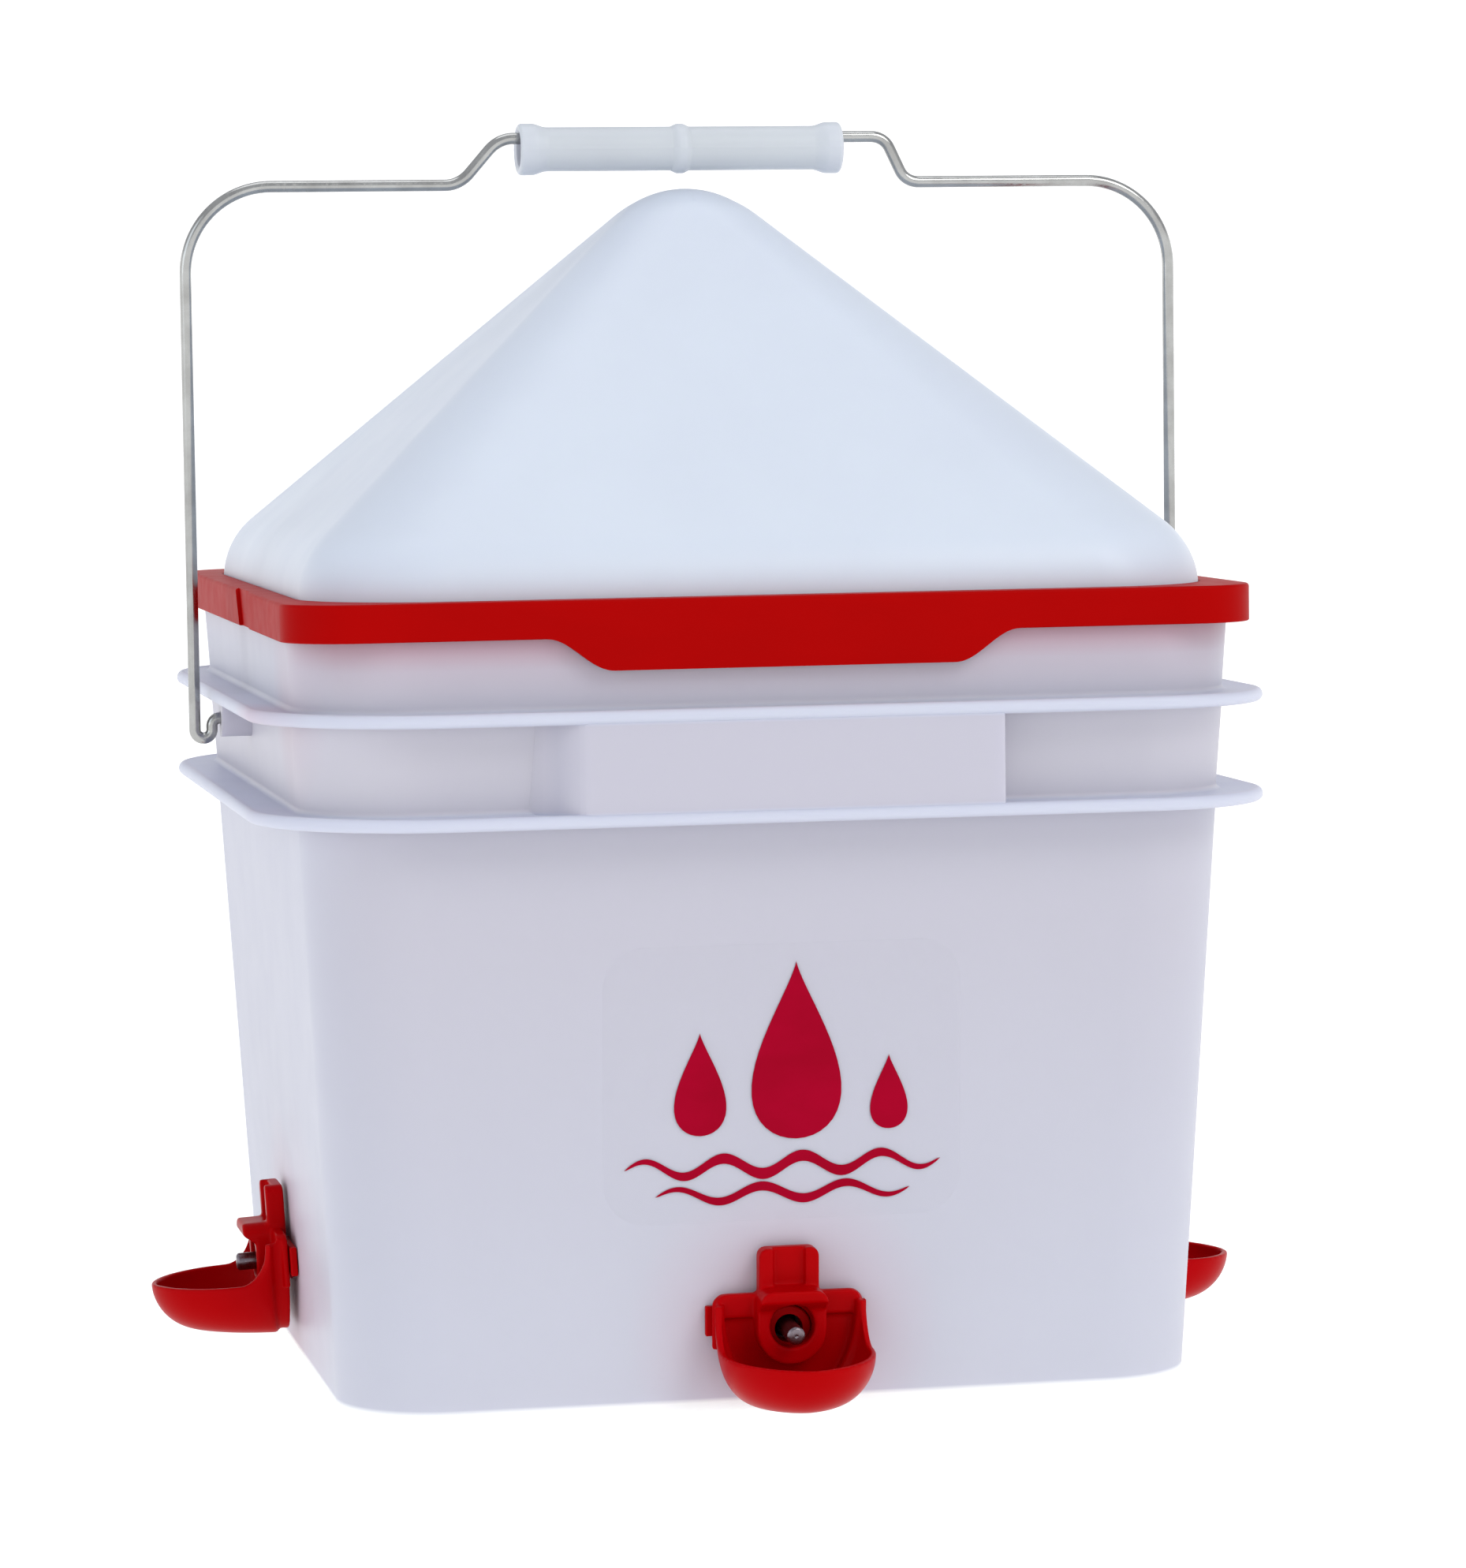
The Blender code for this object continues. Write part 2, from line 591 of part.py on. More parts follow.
def cup():
    """The moulded cup: bowl, flange, tab and hooded spout in one piece."""
    corner = FLANGE_CORNER
    flange = [(-FLANGE_HALF, FLANGE_LOW), (FLANGE_HALF, FLANGE_LOW)]
    flange += arc((FLANGE_HALF - corner, FLANGE_HIGH - corner), corner, 0, 90, 4)
    flange += arc((corner - FLANGE_HALF, FLANGE_HIGH - corner), corner, 90, 180, 4)
    tab = [(-TAB_HALF, SADDLE_HIGH + GAP), (TAB_HALF, SADDLE_HIGH + GAP)]
    tab += arc((TAB_HALF - TAB_CORNER, TAB_HIGH - TAB_CORNER), TAB_CORNER, 0, 90, 3)
    tab += arc((TAB_CORNER - TAB_HALF, TAB_HIGH - TAB_CORNER), TAB_CORNER, 90, 180, 3)
    hood = arc((0, HOOD_ROUND_Z), HOOD_HALF, 180, 360, 10)
    hood += arc((HOOD_HALF - corner, HOOD_HIGH - corner), corner, 0, 90, 4)
    hood += arc((corner - HOOD_HALF, HOOD_HIGH - corner), corner, 90, 180, 4)
    adds = [
        object_of("flange", prism(flange, 1, -FLANGE_OUT, -CUP_BACK)),
        object_of("tab", prism(tab, 1, -TAB_OUT, -TAB_BACK)),
        object_of("hood", prism(hood, 1, -HOOD_VISOR, -CUP_BACK - GAP)),
    ]
    made = combined(bowl(), adds, "UNION")
    channel = [
        (-TAB_CHANNEL_HALF, HOOD_HIGH),
        (TAB_CHANNEL_HALF, HOOD_HIGH),
        (TAB_CHANNEL_HALF, TAB_HIGH + MM),
        (-TAB_CHANNEL_HALF, TAB_HIGH + MM),
    ]
    past_visor = HOOD_VISOR + VISOR_CUT_OVERRUN
    lip_rise = (VISOR_LIP_Z - VISOR_FOOT_Z) / (HOOD_VISOR - HOOD_FACE)
    visor = [
        (-HOOD_FACE, -HOOD_HALF - MM),
        (-HOOD_FACE, VISOR_FOOT_Z),
        (-past_visor, VISOR_LIP_Z + lip_rise * VISOR_CUT_OVERRUN),
        (-past_visor, -HOOD_HALF - MM),
    ]
    spout_ends = (BARREL_FRONT + GAP, HOOD_VISOR + MM)
    spout = object_of("spout", turned([(out, HOOD_HOLE) for out in spout_ends]))
    spout.location.z = HOOD_HOLE_Z
    cuts = [
        object_of("channel", prism(channel, 1, -TAB_OUT - MM, -TAB_CHANNEL_FLOOR)),
        object_of("visor", prism(visor, 0, -HOOD_HALF - MM, HOOD_HALF + MM)),
        object_of("socket", turned([(0, BARREL + GAP), (BARREL_FRONT + 2 * GAP, BARREL + GAP)])),
        spout,
    ]
    return combined(made, cuts, "DIFFERENCE")


def trigger_pin():
    """The pin, whose ball head seats on the seal. Its origin is the ball's centre, its pivot."""
    profile = [(PIN_STUB_END, PIN_STUB), (PIN_BALL_BACK, PIN_STUB)]
    back = math.degrees(math.acos((PIN_PIVOT - PIN_BALL_BACK) / PIN_BALL))
    front = math.degrees(math.acos(math.sqrt(PIN_BALL**2 - PIN**2) / PIN_BALL))
    for step in range(7):
        angle = math.radians(180 - back + (front - 180 + back) * step / 6)
        profile.append((PIN_PIVOT + PIN_BALL * math.cos(angle), PIN_BALL * math.sin(angle)))
    profile += [(PIN_TIP - PIN_CHAMFER, PIN), (PIN_TIP, PIN - PIN_CHAMFER)]
    moved = [(out - PIN_PIVOT, radius) for out, radius in profile]
    return object_of("pin", turned(moved, steps=PIN_STEPS))


def ring_between(name, far, near, inner, outer):
    """A plain ring round the pin's axis."""
    profile = [(far, outer), (near, outer), (near, inner), (far, inner)]
    return object_of(name, turned(profile, loop=True))


def seat_seal():
    """The rubber ring in the chamber's mouth that the ball closes on."""
    near = CHAMBER_FRONT - SEAL_CLEARANCE
    return ring_between("seal", near - SEAL_LENGTH, near, SEAL_BORE, CHAMBER - SEAL_CLEARANCE)


def valve_spring():
    """A coil spring round the pin's stub, from the end cap to just behind the ball."""
    first = BARREL_BACK + SPRING_BACK_CLEARANCE
    last = PIN_BALL_BACK - SPRING_FRONT_CLEARANCE
    steps = SPRING_STEPS_PER_TURN * SPRING_TURNS
    curve = bpy.data.curves.new("spring", "CURVE")
    curve.dimensions = "3D"
    curve.bevel_depth = SPRING_WIRE
    curve.bevel_resolution = 0
    curve.use_fill_caps = True
    line = curve.splines.new("POLY")
    line.points.add(steps)
    for step, point in enumerate(line.points):
        along = step / steps
        angle = 2 * math.pi * SPRING_TURNS * along
        out = first + (last - first) * along
        point.co = (SPRING_COIL * math.cos(angle), -out, SPRING_COIL * math.sin(angle), 1)
    made = bpy.data.objects.new("spring", curve)
    bpy.context.scene.collection.objects.link(made)
    bpy.context.view_layer.update()
    mesh = bpy.data.meshes.new_from_object(made)
    bpy.data.objects.remove(made)
    return object_with("spring", mesh, None)


def end_cap():
    """The cap on the barrel's inner end, with the water inlet through it."""
    back = BARREL_BACK - CAP_THICK
    face = BARREL_BACK - GAP
    skirt = BARREL_BACK + CAP_SKIRT
    socket = BARREL + GAP
    outside = BARREL + CAP_WALL
    profile = [
        (back, CAP_INLET),
        (back, outside),
        (skirt, outside),
        (skirt, socket),
        (face, socket),
        (face, CAP_INLET),
    ]
    return object_of("cap", turned(profile, loop=True))


def wall_gasket():
    """The washer that the nut clamps to the inside of the wall."""
    return ring_between("gasket", NUT_NEAR + GAP, -WALL - GAP, BARREL + GAP, BARREL + GASKET_WIDTH)


def lock_nut():
    """The six-sided nut inside the pail that pulls the drinker against its wall."""
    corner = NUT_FLATS / 2 / math.cos(math.pi / 6)
    outline = arc((0, 0), corner, 0, 300, steps=5)
    nut = object_of("nut", prism(outline, 1, -NUT_NEAR, -NUT_FAR))
    bore = object_of("bore", turned([(NUT_FAR - MM, BARREL + GAP), (NUT_NEAR + MM, BARREL + GAP)]))
    return combined(nut, [bore], "DIFFERENCE")


def make_drinkers(looks):
    """Makes each piece once, then places it at the four sides. The pin turns about its own origin."""
    pieces = {
        "cup": (cup(), looks["red"], 0),
        "nipple_body": (nipple_body(), looks["red"], 0),
        "trigger_pin": (trigger_pin(), looks["stainless"], PIN_PIVOT),
        "seat_seal": (seat_seal(), looks["rubber"], 0),
        "valve_spring": (valve_spring(), looks["stainless"], 0),
        "end_cap": (end_cap(), looks["red"], 0),
        "wall_gasket": (wall_gasket(), looks["rubber"], 0),
        "lock_nut": (lock_nut(), looks["red"], 0),
    }
    for side in PIN_HEIGHTS:
        holder = bpy.data.objects.new(f"{side}_drinker", None)
        holder.matrix_world = drinker_frame(side)
        bpy.context.scene.collection.objects.link(holder)
        for name, (made, finish, origin_out) in pieces.items():
            placed = object_with(f"{side}_{name}", made.data.copy(), finish)
            placed.parent = holder
            placed.location.y = -origin_out
    for made, _, _ in pieces.values():
        bpy.data.objects.remove(made)


# ---------------------------------------------------------------- decal


def make_decal(looks):
    """A thin vinyl sheet just off the front wall, leaning with it. Its outline lies in X and Z."""
    ring = rounded_square(DECAL_HALF_WIDTH, DECAL_HALF_HEIGHT, DECAL_CORNER, 0)
    outline = [(point.x, point.y) for point in ring]
    decal = object_of("front_decal", prism(outline, 1, -DECAL_THICK - GAP, -GAP), looks)
    decal.location = (DECAL_X, -wall_half(DECAL_Z), DECAL_Z)
    decal.rotation_euler.x = math.atan(WALL_SLOPE)


def main():
    for old in list(bpy.data.objects):
        bpy.data.objects.remove(old)
    looks = {
        "natural": material("natural_hdpe", (0.72, 0.74, 0.82), 0.4),
        "cover": material("cover_plastic", (0.75, 0.81, 0.9), 0.35),
        "red": material("red_plastic", (0.45, 0.002, 0.004), 0.3),
        "zinc": material("zinc_wire", (0.6, 0.62, 0.64), 0.35, 1.0),
        "grip": material("grip_plastic", (0.7, 0.76, 0.85), 0.35),
        "stainless": material("stainless", (0.6, 0.6, 0.62), 0.2, 1.0),
        "rubber": material("black_rubber", (0.02, 0.02, 0.02), 0.7),
        "vinyl": material("decal_vinyl", (0.5, 0.0, 0.03), 0.4),
    }
    make_pail(looks["natural"])
    make_lid_frame(looks["red"])
    make_cover(looks["cover"])
    make_bail(looks["zinc"])
    make_grip(looks["grip"])
    make_drinkers(looks)
    make_decal(looks["vinyl"])


main()
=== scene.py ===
"""Looks for the square pail poultry waterer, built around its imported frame.

Metres, +Z up, the pail's front faces -Y. Each drinker is shaped in a frame of its own: X runs along
the wall, -Y runs out of the wall along the trigger pin, and the origin is where the pin's axis leaves
the wall. In that frame "out" is a distance along -Y.
"""

import json
import math

import bmesh
import bpy
from mathutils import Matrix, Vector


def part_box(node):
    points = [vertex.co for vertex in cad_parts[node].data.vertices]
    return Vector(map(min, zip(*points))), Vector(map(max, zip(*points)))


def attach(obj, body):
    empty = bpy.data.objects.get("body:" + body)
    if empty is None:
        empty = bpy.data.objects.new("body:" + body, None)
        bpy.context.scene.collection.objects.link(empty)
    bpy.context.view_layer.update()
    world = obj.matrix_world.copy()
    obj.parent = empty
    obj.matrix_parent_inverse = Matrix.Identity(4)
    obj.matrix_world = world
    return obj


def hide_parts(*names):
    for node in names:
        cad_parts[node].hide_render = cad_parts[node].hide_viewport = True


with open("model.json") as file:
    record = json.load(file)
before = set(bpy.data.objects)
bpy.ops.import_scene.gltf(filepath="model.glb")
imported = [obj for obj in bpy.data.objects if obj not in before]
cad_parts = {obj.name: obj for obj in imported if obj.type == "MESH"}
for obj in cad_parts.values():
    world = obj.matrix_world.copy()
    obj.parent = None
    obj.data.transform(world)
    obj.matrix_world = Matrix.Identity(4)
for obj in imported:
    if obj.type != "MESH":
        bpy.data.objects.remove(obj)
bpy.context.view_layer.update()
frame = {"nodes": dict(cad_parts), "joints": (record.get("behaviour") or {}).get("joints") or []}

MM = 0.001
GAP = 0.3 * MM
QUARTER = math.pi / 2

# Places read from the frame
PAIL_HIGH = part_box("pail")[1]
FRAME_LOW, FRAME_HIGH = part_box("lid_frame")
COVER_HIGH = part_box("roost_cover")[1]
BAIL_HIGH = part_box("bail")[1]
GRIP_LOW, GRIP_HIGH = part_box("grip")
DECAL_LOW, DECAL_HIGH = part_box("front_decal")
BAIL_AXIS_Z = next(joint for joint in frame["joints"] if joint["name"] == "bail_swing")["pos_m"][2]

# Pail
BASE_HALF = 125.3 * MM
WALL_SLOPE = 12.0 / 225.0
LEAN = math.atan(WALL_SLOPE)
WALL = 2.3 * MM
FLOOR = 2.6 * MM
PAIL_CORNER = 30.0 * MM
FOOT_ROUND = 5.7 * MM
RIM_TOP = PAIL_HIGH.z
RIB_HALF = PAIL_HIGH.y
RIB_CORNER = 55.0 * MM
RIB_FRONT_RIGHT_CORNER = 42.0 * MM
RIB_THICK = 3.0 * MM
RIB_LIP = 0.45 * MM
RIB_FILLET = 1.6 * MM
# Heights over which the foot is painted near white, as painted light
PALE_FOOT_LOW = 4.6 * MM
PALE_FOOT_HIGH = 6.0 * MM
LOWER_RIB = 172.7 * MM
UPPER_RIB = 201.7 * MM
PANEL_FACE = 147.0 * MM
PANEL_LEFT = 57.0 * MM
PANEL_LEFT_RAMP = 20.0 * MM
PANEL_RIGHT = 61.5 * MM
PANEL_RIGHT_RAMP = 2.5 * MM
EAR_FACE = 144.7 * MM
EAR_RADIUS = 5.6 * MM
EAR_BORE = 2.1 * MM
EAR_BORE_END = 137.6 * MM

# Lid
FRAME_HALF = FRAME_HIGH.x
FRAME_CORNER = 20.0 * MM
FRAME_WALL = 2.2 * MM
FRAME_TOP = FRAME_HIGH.z
FRAME_TAB_LOW = FRAME_LOW.z
FRAME_BOTTOM = FRAME_TAB_LOW + 9.2 * MM
FRAME_EDGE = 0.9 * MM
TAB_TOP_HALF = 68.0 * MM
TAB_LOW_HALF = 49.0 * MM
COVER_HALF = 132.2 * MM
COVER_WALL = 2.0 * MM
COVER_FLANGE = 1.5 * MM
COVER_APEX = COVER_HIGH.z
COVER_SLOPE = math.radians(41.85)
APEX_ROUND = 31.0 * MM
SHOULDER_ROUND = 26.0 * MM
COVER_CORNER_TOP = 12.0 * MM
COVER_CORNER_BASE = 37.0 * MM

# Bail and grip
WIRE = 1.75 * MM
BAIL_TIP_X = 138.6 * MM
BAIL_INNER_X = 147.3 * MM
BAIL_LEG_X = BAIL_HIGH.x - WIRE
BAIL_TIP_BEND = 2.3 * MM
BAIL_HOOK_DROP = 1.1 * MM
BAIL_SHOULDER_Z = 355.4 * MM
BAIL_SHOULDER_BEND = 26.0 * MM
BAIL_CROWN_Z = BAIL_HIGH.z - WIRE
BAIL_STEP_X = 64.4 * MM
BAIL_STEP_ANGLE = math.radians(56)
BAIL_STEP_BEND = 8.0 * MM
CROWN_SHIFT = 2.8 * MM
GRIP_HALF = (GRIP_HIGH.x - GRIP_LOW.x) / 2
GRIP_CENTRE = (GRIP_LOW + GRIP_HIGH) / 2
GRIP_BORE = 5.25 * MM
GRIP_BODY = 6.65 * MM
GRIP_FLARE = 7.8 * MM
GRIP_RING = 7.5 * MM

# Drinkers
PIN_HEIGHTS = {"front": 26.5 * MM, "left": 31.5 * MM, "right": 26.5 * MM, "back": 28.0 * MM}
TURNS = {"front": 0.0, "right": QUARTER, "back": 2 * QUARTER, "left": -QUARTER}
BARREL = 6.5 * MM
BARREL_FRONT = 5.5 * MM
BARREL_BACK = -16.0 * MM
THREAD_DEPTH = 0.22 * MM
THREAD_PITCH = 1.5 * MM
CHAMBER = 5.1 * MM
CHAMBER_FRONT = -1.2 * MM
OUTLET = 4.1 * MM
SADDLE_HALF = 23.5 * MM
SADDLE_OUT = 2.4 * MM
SADDLE_LOW = -2.1 * MM
SADDLE_HIGH = 6.6 * MM
PIN = 2.65 * MM
PIN_TIP = 16.2 * MM
PIN_PIVOT = -6.0 * MM
PIN_BALL = 4.5 * MM
PIN_BALL_BACK = -8.5 * MM
PIN_STUB = 1.8 * MM
PIN_STUB_END = -11.0 * MM

# Cup
CUP_BACK = 2.7 * MM
FLANGE_OUT = 4.5 * MM
FLANGE_HALF = 22.0 * MM
FLANGE_LOW = -5.7 * MM
FLANGE_HIGH = 10.5 * MM
WING_BAR_LOW = 3.6 * MM
WING_BAR_OUT = 6.0 * MM
TAB_HALF = 8.75 * MM
TAB_HIGH = 23.5 * MM
TAB_BACK = 1.4 * MM
TAB_OUT = 6.9 * MM
TAB_CORNER = 2.5 * MM
CHANNEL_HALF = 4.6 * MM
CHANNEL_FLOOR = 4.9 * MM
HOOD_HALF = 10.0 * MM
HOOD_HIGH = 12.5 * MM
HOOD_FACE = 11.0 * MM
HOOD_VISOR = 14.6 * MM
HOOD_HOLE = 6.5 * MM
HOOD_HOLE_Z = 1.9 * MM
HOOD_ROUND_Z = 0.5 * MM
HOOD_CORNER = 4.0 * MM
VISOR_FOOT_Z = 6.4 * MM
VISOR_LIP_Z = 9.2 * MM
BOWL_HALF = 22.2 * MM
BOWL_TIP = 42.5 * MM
BOWL_WALL = 1.8 * MM
BOWL_RIM = -4.0 * MM
BOWL_LOW = -21.7 * MM
BOWL_KEEL_RISE = 0.06
BOWL_KEEL_REACH = 0.62
BOWL_KEEL_WIDTH = 0.36
BOWL_BLOCK_OUT = 7.5 * MM
BOWL_BLOCK_STEP = 1.1 * MM
BOWL_PLAN_POWER = 1.1
CHEEK_HIGH = 8.0 * MM
CHEEK_OUT = 8.2 * MM
CHEEK_SWEEP = 9.4 * MM
CUP_VOXEL = 0.34 * MM
CUP_SHARE_KEPT = 0.34

# Camera: a long lens to the left of the front, level with the cover
LENS_MM = 126.43
SENSOR_MM = 36.0
CAMERA_PLACE = Vector((-321.69, -1653.69, 305.43)) * MM
CAMERA_YAW = math.radians(11.43)
CAMERA_PITCH = math.radians(4.53)
CAMERA_ROLL = math.radians(-0.78)

CORNER_STEPS = 36
ROUND_STEPS = 64


# ---------------------------------------------------------------- shapes


def wall_half(z):
    """Half the pail's outside width at a height."""
    return BASE_HALF + WALL_SLOPE * z


def rounded_square(half_x, half_y, radius, z, front_right=None, steps=CORNER_STEPS):
    """A ring round a square. Its front right corner may have a radius of its own."""
    radii = [radius, radius, radius, radius if front_right is None else front_right]
    ring = []
    for corner, bend in enumerate(radii):
        sign_x = 1 if corner in (0, 3) else -1
        sign_y = 1 if corner in (0, 1) else -1
        centre = Vector((sign_x * (half_x - bend), sign_y * (half_y - bend), z))
        for step in range(steps + 1):
            angle = QUARTER * (corner + step / steps)
            ring.append(centre + Vector((math.cos(angle), math.sin(angle), 0)) * bend)
    return ring


def loft(rings, loop=False):
    """Joins rings of equal length, and caps both ends unless the last ring loops back to the first."""
    bm = bmesh.new()
    made = [[bm.verts.new(point) for point in ring] for ring in rings]
    pairs = list(zip(made, made[1:]))
    if loop:
        pairs.append((made[-1], made[0]))
    for lower, upper in pairs:
        for here in range(len(lower)):
            after = (here + 1) % len(lower)
            bm.faces.new((lower[here], lower[after], upper[after], upper[here]))
    if not loop:
        bm.faces.new(tuple(reversed(made[0])))
        bm.faces.new(tuple(made[-1]))
    return bm


def turned(profile, loop=False, steps=ROUND_STEPS):
    """Turns (out, radius) pairs about the pin's axis."""
    rings = []
    for out, radius in profile:
        angles = (2 * math.pi * step / steps for step in range(steps))
        rings.append([Vector((radius * math.cos(a), -out, radius * math.sin(a))) for a in angles])
    return loft(rings, loop)


def prism(outline, depth_axis, low, high):
    rings = []
    for depth in (low, high):
        ring = []
        for first, second in outline:
            point = [first, second]
            point.insert(depth_axis, depth)
            ring.append(Vector(point))
        rings.append(ring)
    return loft(rings)


def arc(centre, radius, start_deg, end_deg, steps=CORNER_STEPS):
    points = []
    for step in range(steps + 1):
        angle = math.radians(start_deg + (end_deg - start_deg) * step / steps)
        points.append((centre[0] + radius * math.cos(angle), centre[1] + radius * math.sin(angle)))
    return points


def object_of(name, bm):
    bmesh.ops.recalc_face_normals(bm, faces=bm.faces)
    mesh = bpy.data.meshes.new(name)
    bm.to_mesh(mesh)
    bm.free()
    made = bpy.data.objects.new(name, mesh)
    bpy.context.scene.collection.objects.link(made)
    return made


def applied(obj):
    """Bakes an object's modifiers into its mesh."""
    bpy.context.view_layer.update()
    graph = bpy.context.evaluated_depsgraph_get()
    mesh = bpy.data.meshes.new_from_object(obj.evaluated_get(graph))
    obj.modifiers.clear()
    obj.data = mesh
    return obj


def combined(base, tools, operation):
    for tool in tools:
        cut = base.modifiers.new(tool.name, "BOOLEAN")
        cut.object = tool
        cut.operation = operation
        cut.solver = "EXACT"
    applied(base)
    for tool in tools:
        bpy.data.objects.remove(tool)
    return base


def bevelled(obj, width, segments=3, angle_deg=40):
    bevel = obj.modifiers.new("edges", "BEVEL")
    bevel.width = width
    bevel.segments = segments
    bevel.limit_method = "ANGLE"
    bevel.angle_limit = math.radians(angle_deg)
    bevel.use_clamp_overlap = True
    return applied(obj)


def smooth(obj, crease_deg=32):
    """Smooth shading that keeps large flat faces flat beside small fillets."""
    obj.data.shade_smooth()
    obj.data.set_sharp_from_angle(angle=math.radians(crease_deg))
    weighted = obj.modifiers.new("flat faces", "WEIGHTED_NORMAL")
    weighted.keep_sharp = True
    return obj


def dressed(obj, looks):
    obj.data.materials.clear()
    obj.data.materials.append(looks)
    return obj


# ---------------------------------------------------------------- materials


class Looks:
    """A node material being built."""

    def __init__(self, name):
        self.material = bpy.data.materials.new(name)
        self.material.use_nodes = True
        self.tree = self.material.node_tree
        self.shader = self.tree.nodes["Principled BSDF"]
        self.place = self.tree.nodes.new("ShaderNodeTexCoord").outputs["Object"]

    def set(self, **values):
        for name, value in values.items():
            self.shader.inputs[name.replace("_", " ")].default_value = value

    def link(self, output, name):
        self.tree.links.new(output, self.shader.inputs[name])

    def noise(self, scale, detail=4.0, stretch=(1, 1, 1)):
        mapping = self.tree.nodes.new("ShaderNodeMapping")
        mapping.inputs["Scale"].default_value = stretch
        self.tree.links.new(self.place, mapping.inputs["Vector"])
        noise = self.tree.nodes.new("ShaderNodeTexNoise")
        noise.inputs["Scale"].default_value = scale
        noise.inputs["Detail"].default_value = detail
        self.tree.links.new(mapping.outputs["Vector"], noise.inputs["Vector"])
        return noise.outputs["Fac"]

    def spread(self, value, low, high, from_low=0.35, from_high=0.65):
        """Maps a value onto a range."""
        node = self.tree.nodes.new("ShaderNodeMapRange")
        node.inputs["From Min"].default_value = from_low
        node.inputs["From Max"].default_value = from_high
        node.inputs["To Min"].default_value = low
        node.inputs["To Max"].default_value = high
        self.tree.links.new(value, node.inputs["Value"])
        return node.outputs["Result"]

    def mixed(self, amount, first, second):
        """Mixes two colours, either of which may be an output."""
        node = self.tree.nodes.new("ShaderNodeMix")
        node.data_type = "RGBA"
        colour_a, colour_b = node.inputs[6], node.inputs[7]
        self.tree.links.new(amount, node.inputs[0])
        for socket, colour in ((colour_a, first), (colour_b, second)):
            if isinstance(colour, tuple):
                socket.default_value = (*colour, 1.0)
            else:
                self.tree.links.new(colour, socket)
        return node.outputs[2]

    def near(self, point, reach, strength):
        """Strength at a point, fading to nothing at a distance."""
        node = self.tree.nodes.new("ShaderNodeVectorMath")
        node.operation = "DISTANCE"
        node.inputs[1].default_value = point
        self.tree.links.new(self.place, node.inputs[0])
        return self.spread(node.outputs["Value"], strength, 0.0, 0.0, reach)

    def along(self, axis):
        node = self.tree.nodes.new("ShaderNodeSeparateXYZ")
        self.tree.links.new(self.place, node.inputs[0])
        return node.outputs[axis]

    def product(self, first, second):
        node = self.tree.nodes.new("ShaderNodeMath")
        node.operation = "MULTIPLY"
        self.tree.links.new(first, node.inputs[0])
        self.tree.links.new(second, node.inputs[1])
        return node.outputs[0]

    def bump(self, height, strength, distance):
        node = self.tree.nodes.new("ShaderNodeBump")
        node.inputs["Strength"].default_value = strength
        node.inputs["Distance"].default_value = distance
        self.tree.links.new(height, node.inputs["Height"])
        self.link(node.outputs["Normal"], "Normal")


def milky_plastic(name, light, dark, roughness, painted_tints=()):
    """Natural polyethylene: cloudy, slightly see-through, with fine handling marks."""
    looks = Looks(name)
    colour = looks.mixed(looks.spread(looks.noise(14.0), 0.0, 1.0), light, dark)
    # Painted light: these tints lay painted shade, painted light and painted red reflections over the
    # plastic's colour.
    for amount, tint in painted_tints:
        colour = looks.mixed(amount(looks), colour, tint)
    looks.link(colour, "Base Color")
    looks.link(looks.spread(looks.noise(55.0, 6.0), roughness - 0.02, roughness + 0.03), "Roughness")
    looks.bump(looks.noise(900.0, 3.0), 0.04, 0.0001)
    looks.set(Subsurface_Weight=0.3, Subsurface_Scale=0.008, Specular_IOR_Level=0.3)
    looks.shader.inputs["Subsurface Radius"].default_value = (1.0, 0.9, 1.1)
    return looks.material


def moulded_plastic(name, light, dark, roughness, grain=1200.0):
    """Opaque moulded plastic with flow marks in its colour and a fine grain."""
    looks = Looks(name)
    flow = looks.noise(38.0, 5.0, (1, 1, 2.2))
    looks.link(looks.mixed(looks.spread(flow, 0.0, 1.0), light, dark), "Base Color")
    looks.link(looks.spread(looks.noise(160.0, 5.0), roughness - 0.02, roughness + 0.03), "Roughness")
    looks.bump(looks.noise(grain, 2.0), 0.06, 0.00006)
    looks.set(Specular_IOR_Level=0.03)
    return looks.material


def metal(name, light, dark, low_rough, high_rough, stretch):
    """Drawn or turned metal, with marks along the way it was worked."""
    looks = Looks(name)
    marks = looks.noise(700.0, 4.0, stretch)
    looks.link(looks.mixed(looks.spread(looks.noise(120.0, 4.0), 0.0, 1.0), light, dark), "Base Color")
    looks.link(looks.spread(marks, low_rough, high_rough), "Roughness")
    looks.bump(marks, 0.15, 0.00005)
    looks.set(Metallic=1.0)
    return looks.material


def rubber(name):
    looks = Looks(name)
    looks.link(looks.mixed(looks.noise(300.0), (0.018, 0.018, 0.018), (0.035, 0.034, 0.033)), "Base Color")
    looks.link(looks.spread(looks.noise(500.0), 0.6, 0.8), "Roughness")
    looks.bump(looks.noise(1500.0), 0.2, 0.00005)
    return looks.material


def clear_film(name):
    """The decal's clear vinyl: almost unseen, with a faint gloss."""
    looks = Looks(name)
    looks.link(looks.mixed(looks.noise(90.0), (0.66, 0.66, 0.72), (0.72, 0.72, 0.78)), "Base Color")
    looks.link(looks.spread(looks.noise(200.0), 0.18, 0.3), "Roughness")
    looks.set(Alpha=0.03, Specular_IOR_Level=0.2)
    return looks.material


def drinker_place(side):
    """The pose of a drinker's frame: square to the wall, which overhangs by its slope."""
    height = PIN_HEIGHTS[side]
    place = Matrix.Translation((0, -wall_half(height), height)) @ Matrix.Rotation(LEAN, 4, "X")
    return Matrix.Rotation(TURNS[side], 4, "Z") @ place


